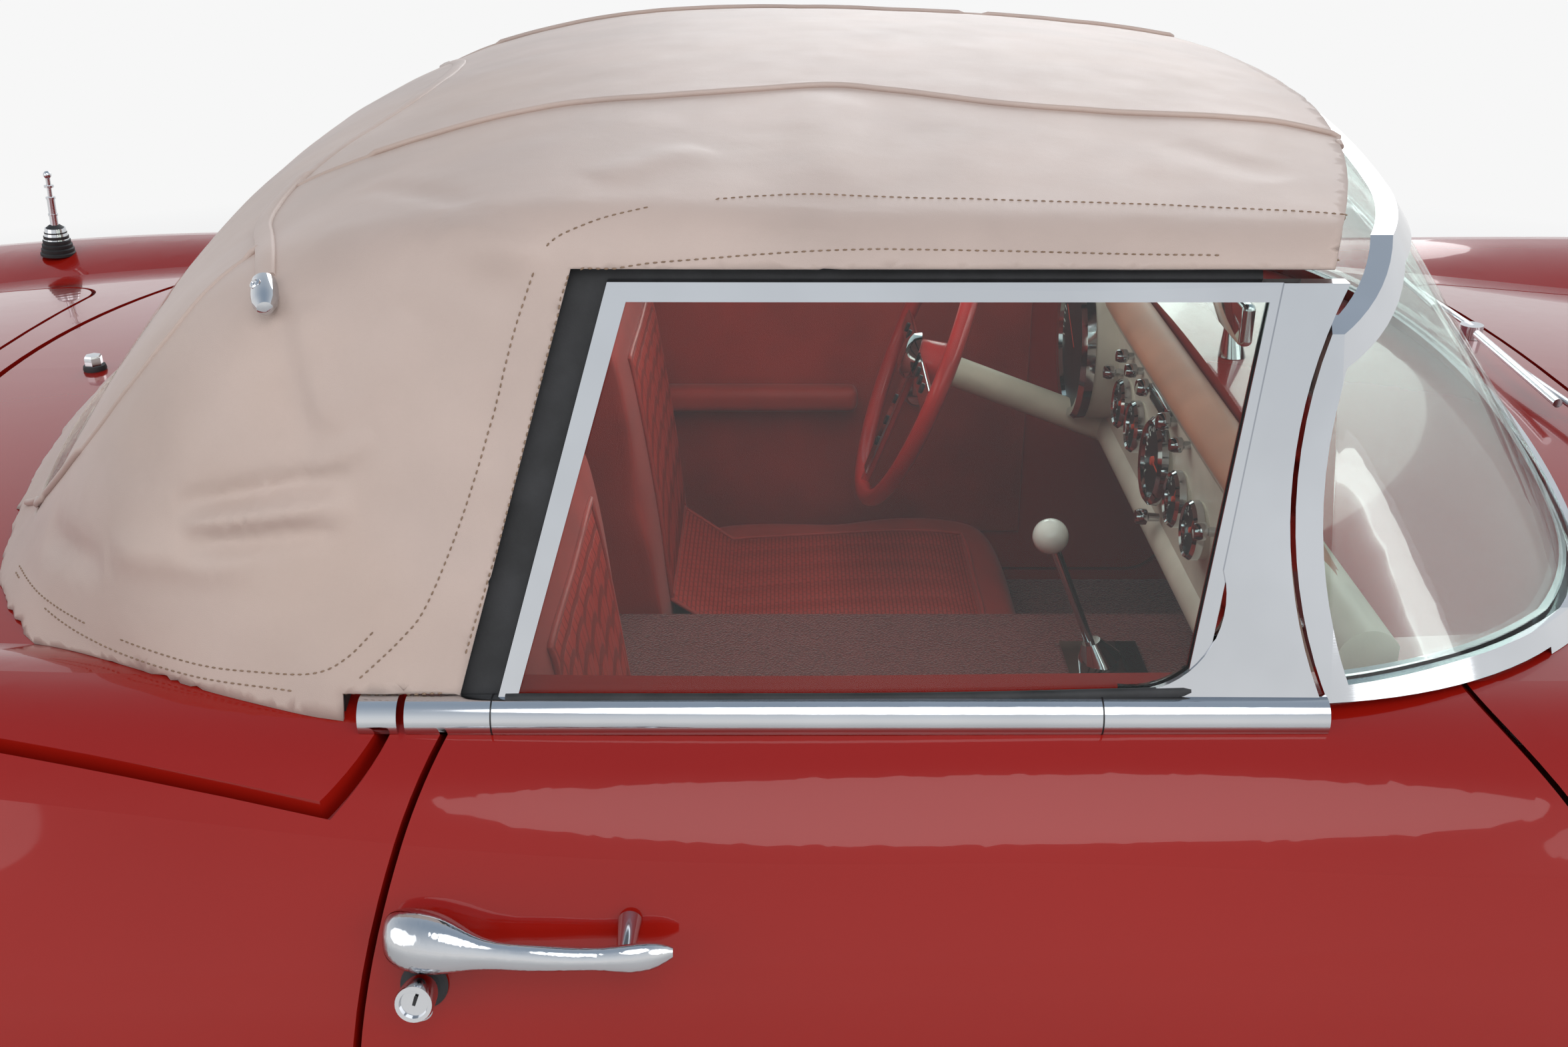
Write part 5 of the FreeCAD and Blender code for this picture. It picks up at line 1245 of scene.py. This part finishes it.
# Lamps: name, place, size and power
LAMPS = (
    ("key_lamp", (0.8, -4.5, 6.0), 5.0, 130),
    ("front_lamp", (5.2, -4.3, 3.2), 5.5, 115),
    ("rear_lamp", (-5.2, -4.1, 3.2), 5.5, 85),
    ("far_lamp", (1.0, 5.8, 3.4), 4.5, 130),
)
LAMPS_AIM = Vector((0, 0, 0.8))
CABIN_LAMP_PLACE = (-0.05, 0, 1.165)
CABIN_LAMP_SIZE = (0.5, 0.9)
CABIN_LAMP_POWER = 3.2
CAMERA_PLACE = (-0.100, -1.830, 1.510)
CAMERA_DOWN = 24.1
SENSOR_WIDTH = 36
PHOTO_WIDTH = 2349
PHOTO_FOCAL_LENGTH = 2420


def seen_directly(make):
    """1 for rays of the camera and for those mirrored or passed by metal and glass, 0 for the others."""
    camera, mirrored, passed = (make.node("ShaderNodeLightPath", output="Is %s Ray" % kind)
                                for kind in ("Camera", "Glossy", "Transmission"))
    return (camera + mirrored + passed).clamped()


class CAR_OT_stage(bpy.types.Operator):
    """Sets the floor, the light and the camera"""
    bl_idname = "car.stage"
    bl_label = "Stage"

    def execute(self, context):
        scene = context.scene
        scene.view_settings.view_transform = "Standard"
        self.lay_floor()
        self.light(scene)
        bpy.ops.object.camera_add(location=CAMERA_PLACE)
        camera = bpy.context.object
        camera.name = "photo_camera"
        camera.rotation_euler = (math.radians(90 - CAMERA_DOWN), 0, 0)
        camera.data.sensor_width = SENSOR_WIDTH
        camera.data.lens = SENSOR_WIDTH * PHOTO_FOCAL_LENGTH / PHOTO_WIDTH
        camera.data.clip_start = 0.05
        scene.camera = camera
        return {"FINISHED"}

    def lay_floor(self):
        """Lays a pale floor that fades into a pale background away from the car."""
        make = Recipe("pale_floor")
        where = make.place()
        tint = make.ramp(make.noise(where, 0.6, 3), (0.3, (0.74, 0.74, 0.73)), (0.7, (0.80, 0.80, 0.79)))
        reach = make.node("ShaderNodeVectorMath", {"operation": "LENGTH"}, {0: where}, "Value")
        pale = make.node("ShaderNodeEmission", None, {"Color": (0.93, 0.93, 0.93), "Strength": 1.0})
        fade = (0.12 + 0.30 * (reach - 2.4)).clamped() * seen_directly(make)
        ground = make.shader(Base_Color=tint, Roughness=0.8)
        deselect()
        bpy.ops.mesh.primitive_plane_add(size=FLOOR_SIZE, location=(0, 0, 0))
        floor = bpy.context.object
        floor.name = "floor"
        both = make.node("ShaderNodeMixShader", None, {0: fade, 1: ground, 2: pale})
        floor.data.materials.append(make.done(both))

    def light(self, scene):
        """Sets a plain pale sky, soft lamps about the car and a weak one in its cabin."""
        sky = Recipe("studio", world=True)
        soft = sky.node("ShaderNodeBackground", None, {"Color": (0.86, 0.90, 0.96), "Strength": 0.5})
        height = sky.node("ShaderNodeSeparateXYZ", None, {0: sky.node("ShaderNodeTexCoord")}, "Z")
        tone = sky.ramp(height, (0.0, (0.95, 0.96, 0.97)), (0.35, (0.84, 0.88, 0.92)),
                        (1.0, (0.36, 0.44, 0.54)))
        plain = sky.node("ShaderNodeBackground", None, {"Color": tone, "Strength": 1.0})
        both = sky.node("ShaderNodeMixShader", None, {0: seen_directly(sky), 1: soft, 2: plain})
        scene.world = sky.done(both)
        for label, place, size, power in LAMPS:
            bpy.ops.object.light_add(type="AREA", location=place)
            lamp = bpy.context.object
            lamp.name = label
            lamp.data.shape = "DISK"
            lamp.data.size = size
            lamp.data.energy = power
            lamp.rotation_euler = (LAMPS_AIM - Vector(place)).to_track_quat("-Z", "Y").to_euler()
        bpy.ops.object.light_add(type="AREA", location=CABIN_LAMP_PLACE)
        lamp = bpy.context.object
        lamp.name = "cabin_lamp"
        lamp.data.shape = "RECTANGLE"
        lamp.data.size, lamp.data.size_y = CABIN_LAMP_SIZE
        lamp.data.energy = CABIN_LAMP_POWER
        lamp.visible_camera = False
        lamp.visible_glossy = False


class CAR_PT_panel(bpy.types.Panel):
    """Lists the car's making steps"""
    bl_idname = "CAR_PT_panel"
    bl_label = "Convertible car"
    bl_space_type = "VIEW_3D"
    bl_region_type = "UI"
    bl_category = "Car"

    def draw(self, context):
        for group in (context.scene.car_colours, context.scene.car_sizes):
            for key in group.__annotations__:
                self.layout.prop(group, key)
        for operator in OPERATORS:
            self.layout.operator(operator.bl_idname)


OPERATORS = [CAR_OT_finishes, CAR_OT_top_cloth, CAR_OT_top_seams, CAR_OT_belt_gaskets, CAR_OT_seats,
             CAR_OT_dash, CAR_OT_controls, CAR_OT_wheels, CAR_OT_outside, CAR_OT_stage]
CLASSES = [CarColours, CarSizes, *OPERATORS, CAR_PT_panel]


def register():
    """Registers the classes and the car's two groups of properties."""
    for item in CLASSES:
        bpy.utils.register_class(item)
    bpy.types.Scene.car_colours = PointerProperty(type=CarColours)
    bpy.types.Scene.car_sizes = PointerProperty(type=CarSizes)


def unregister():
    """Takes away what register made."""
    del bpy.types.Scene.car_colours
    del bpy.types.Scene.car_sizes
    for item in reversed(CLASSES):
        bpy.utils.unregister_class(item)


def main():
    """Makes the car's pieces and its stage."""
    register()
    for operator in OPERATORS:
        group, name = operator.bl_idname.split(".")
        getattr(getattr(bpy.ops, group), name)()


if __name__ == "__main__":
    main()
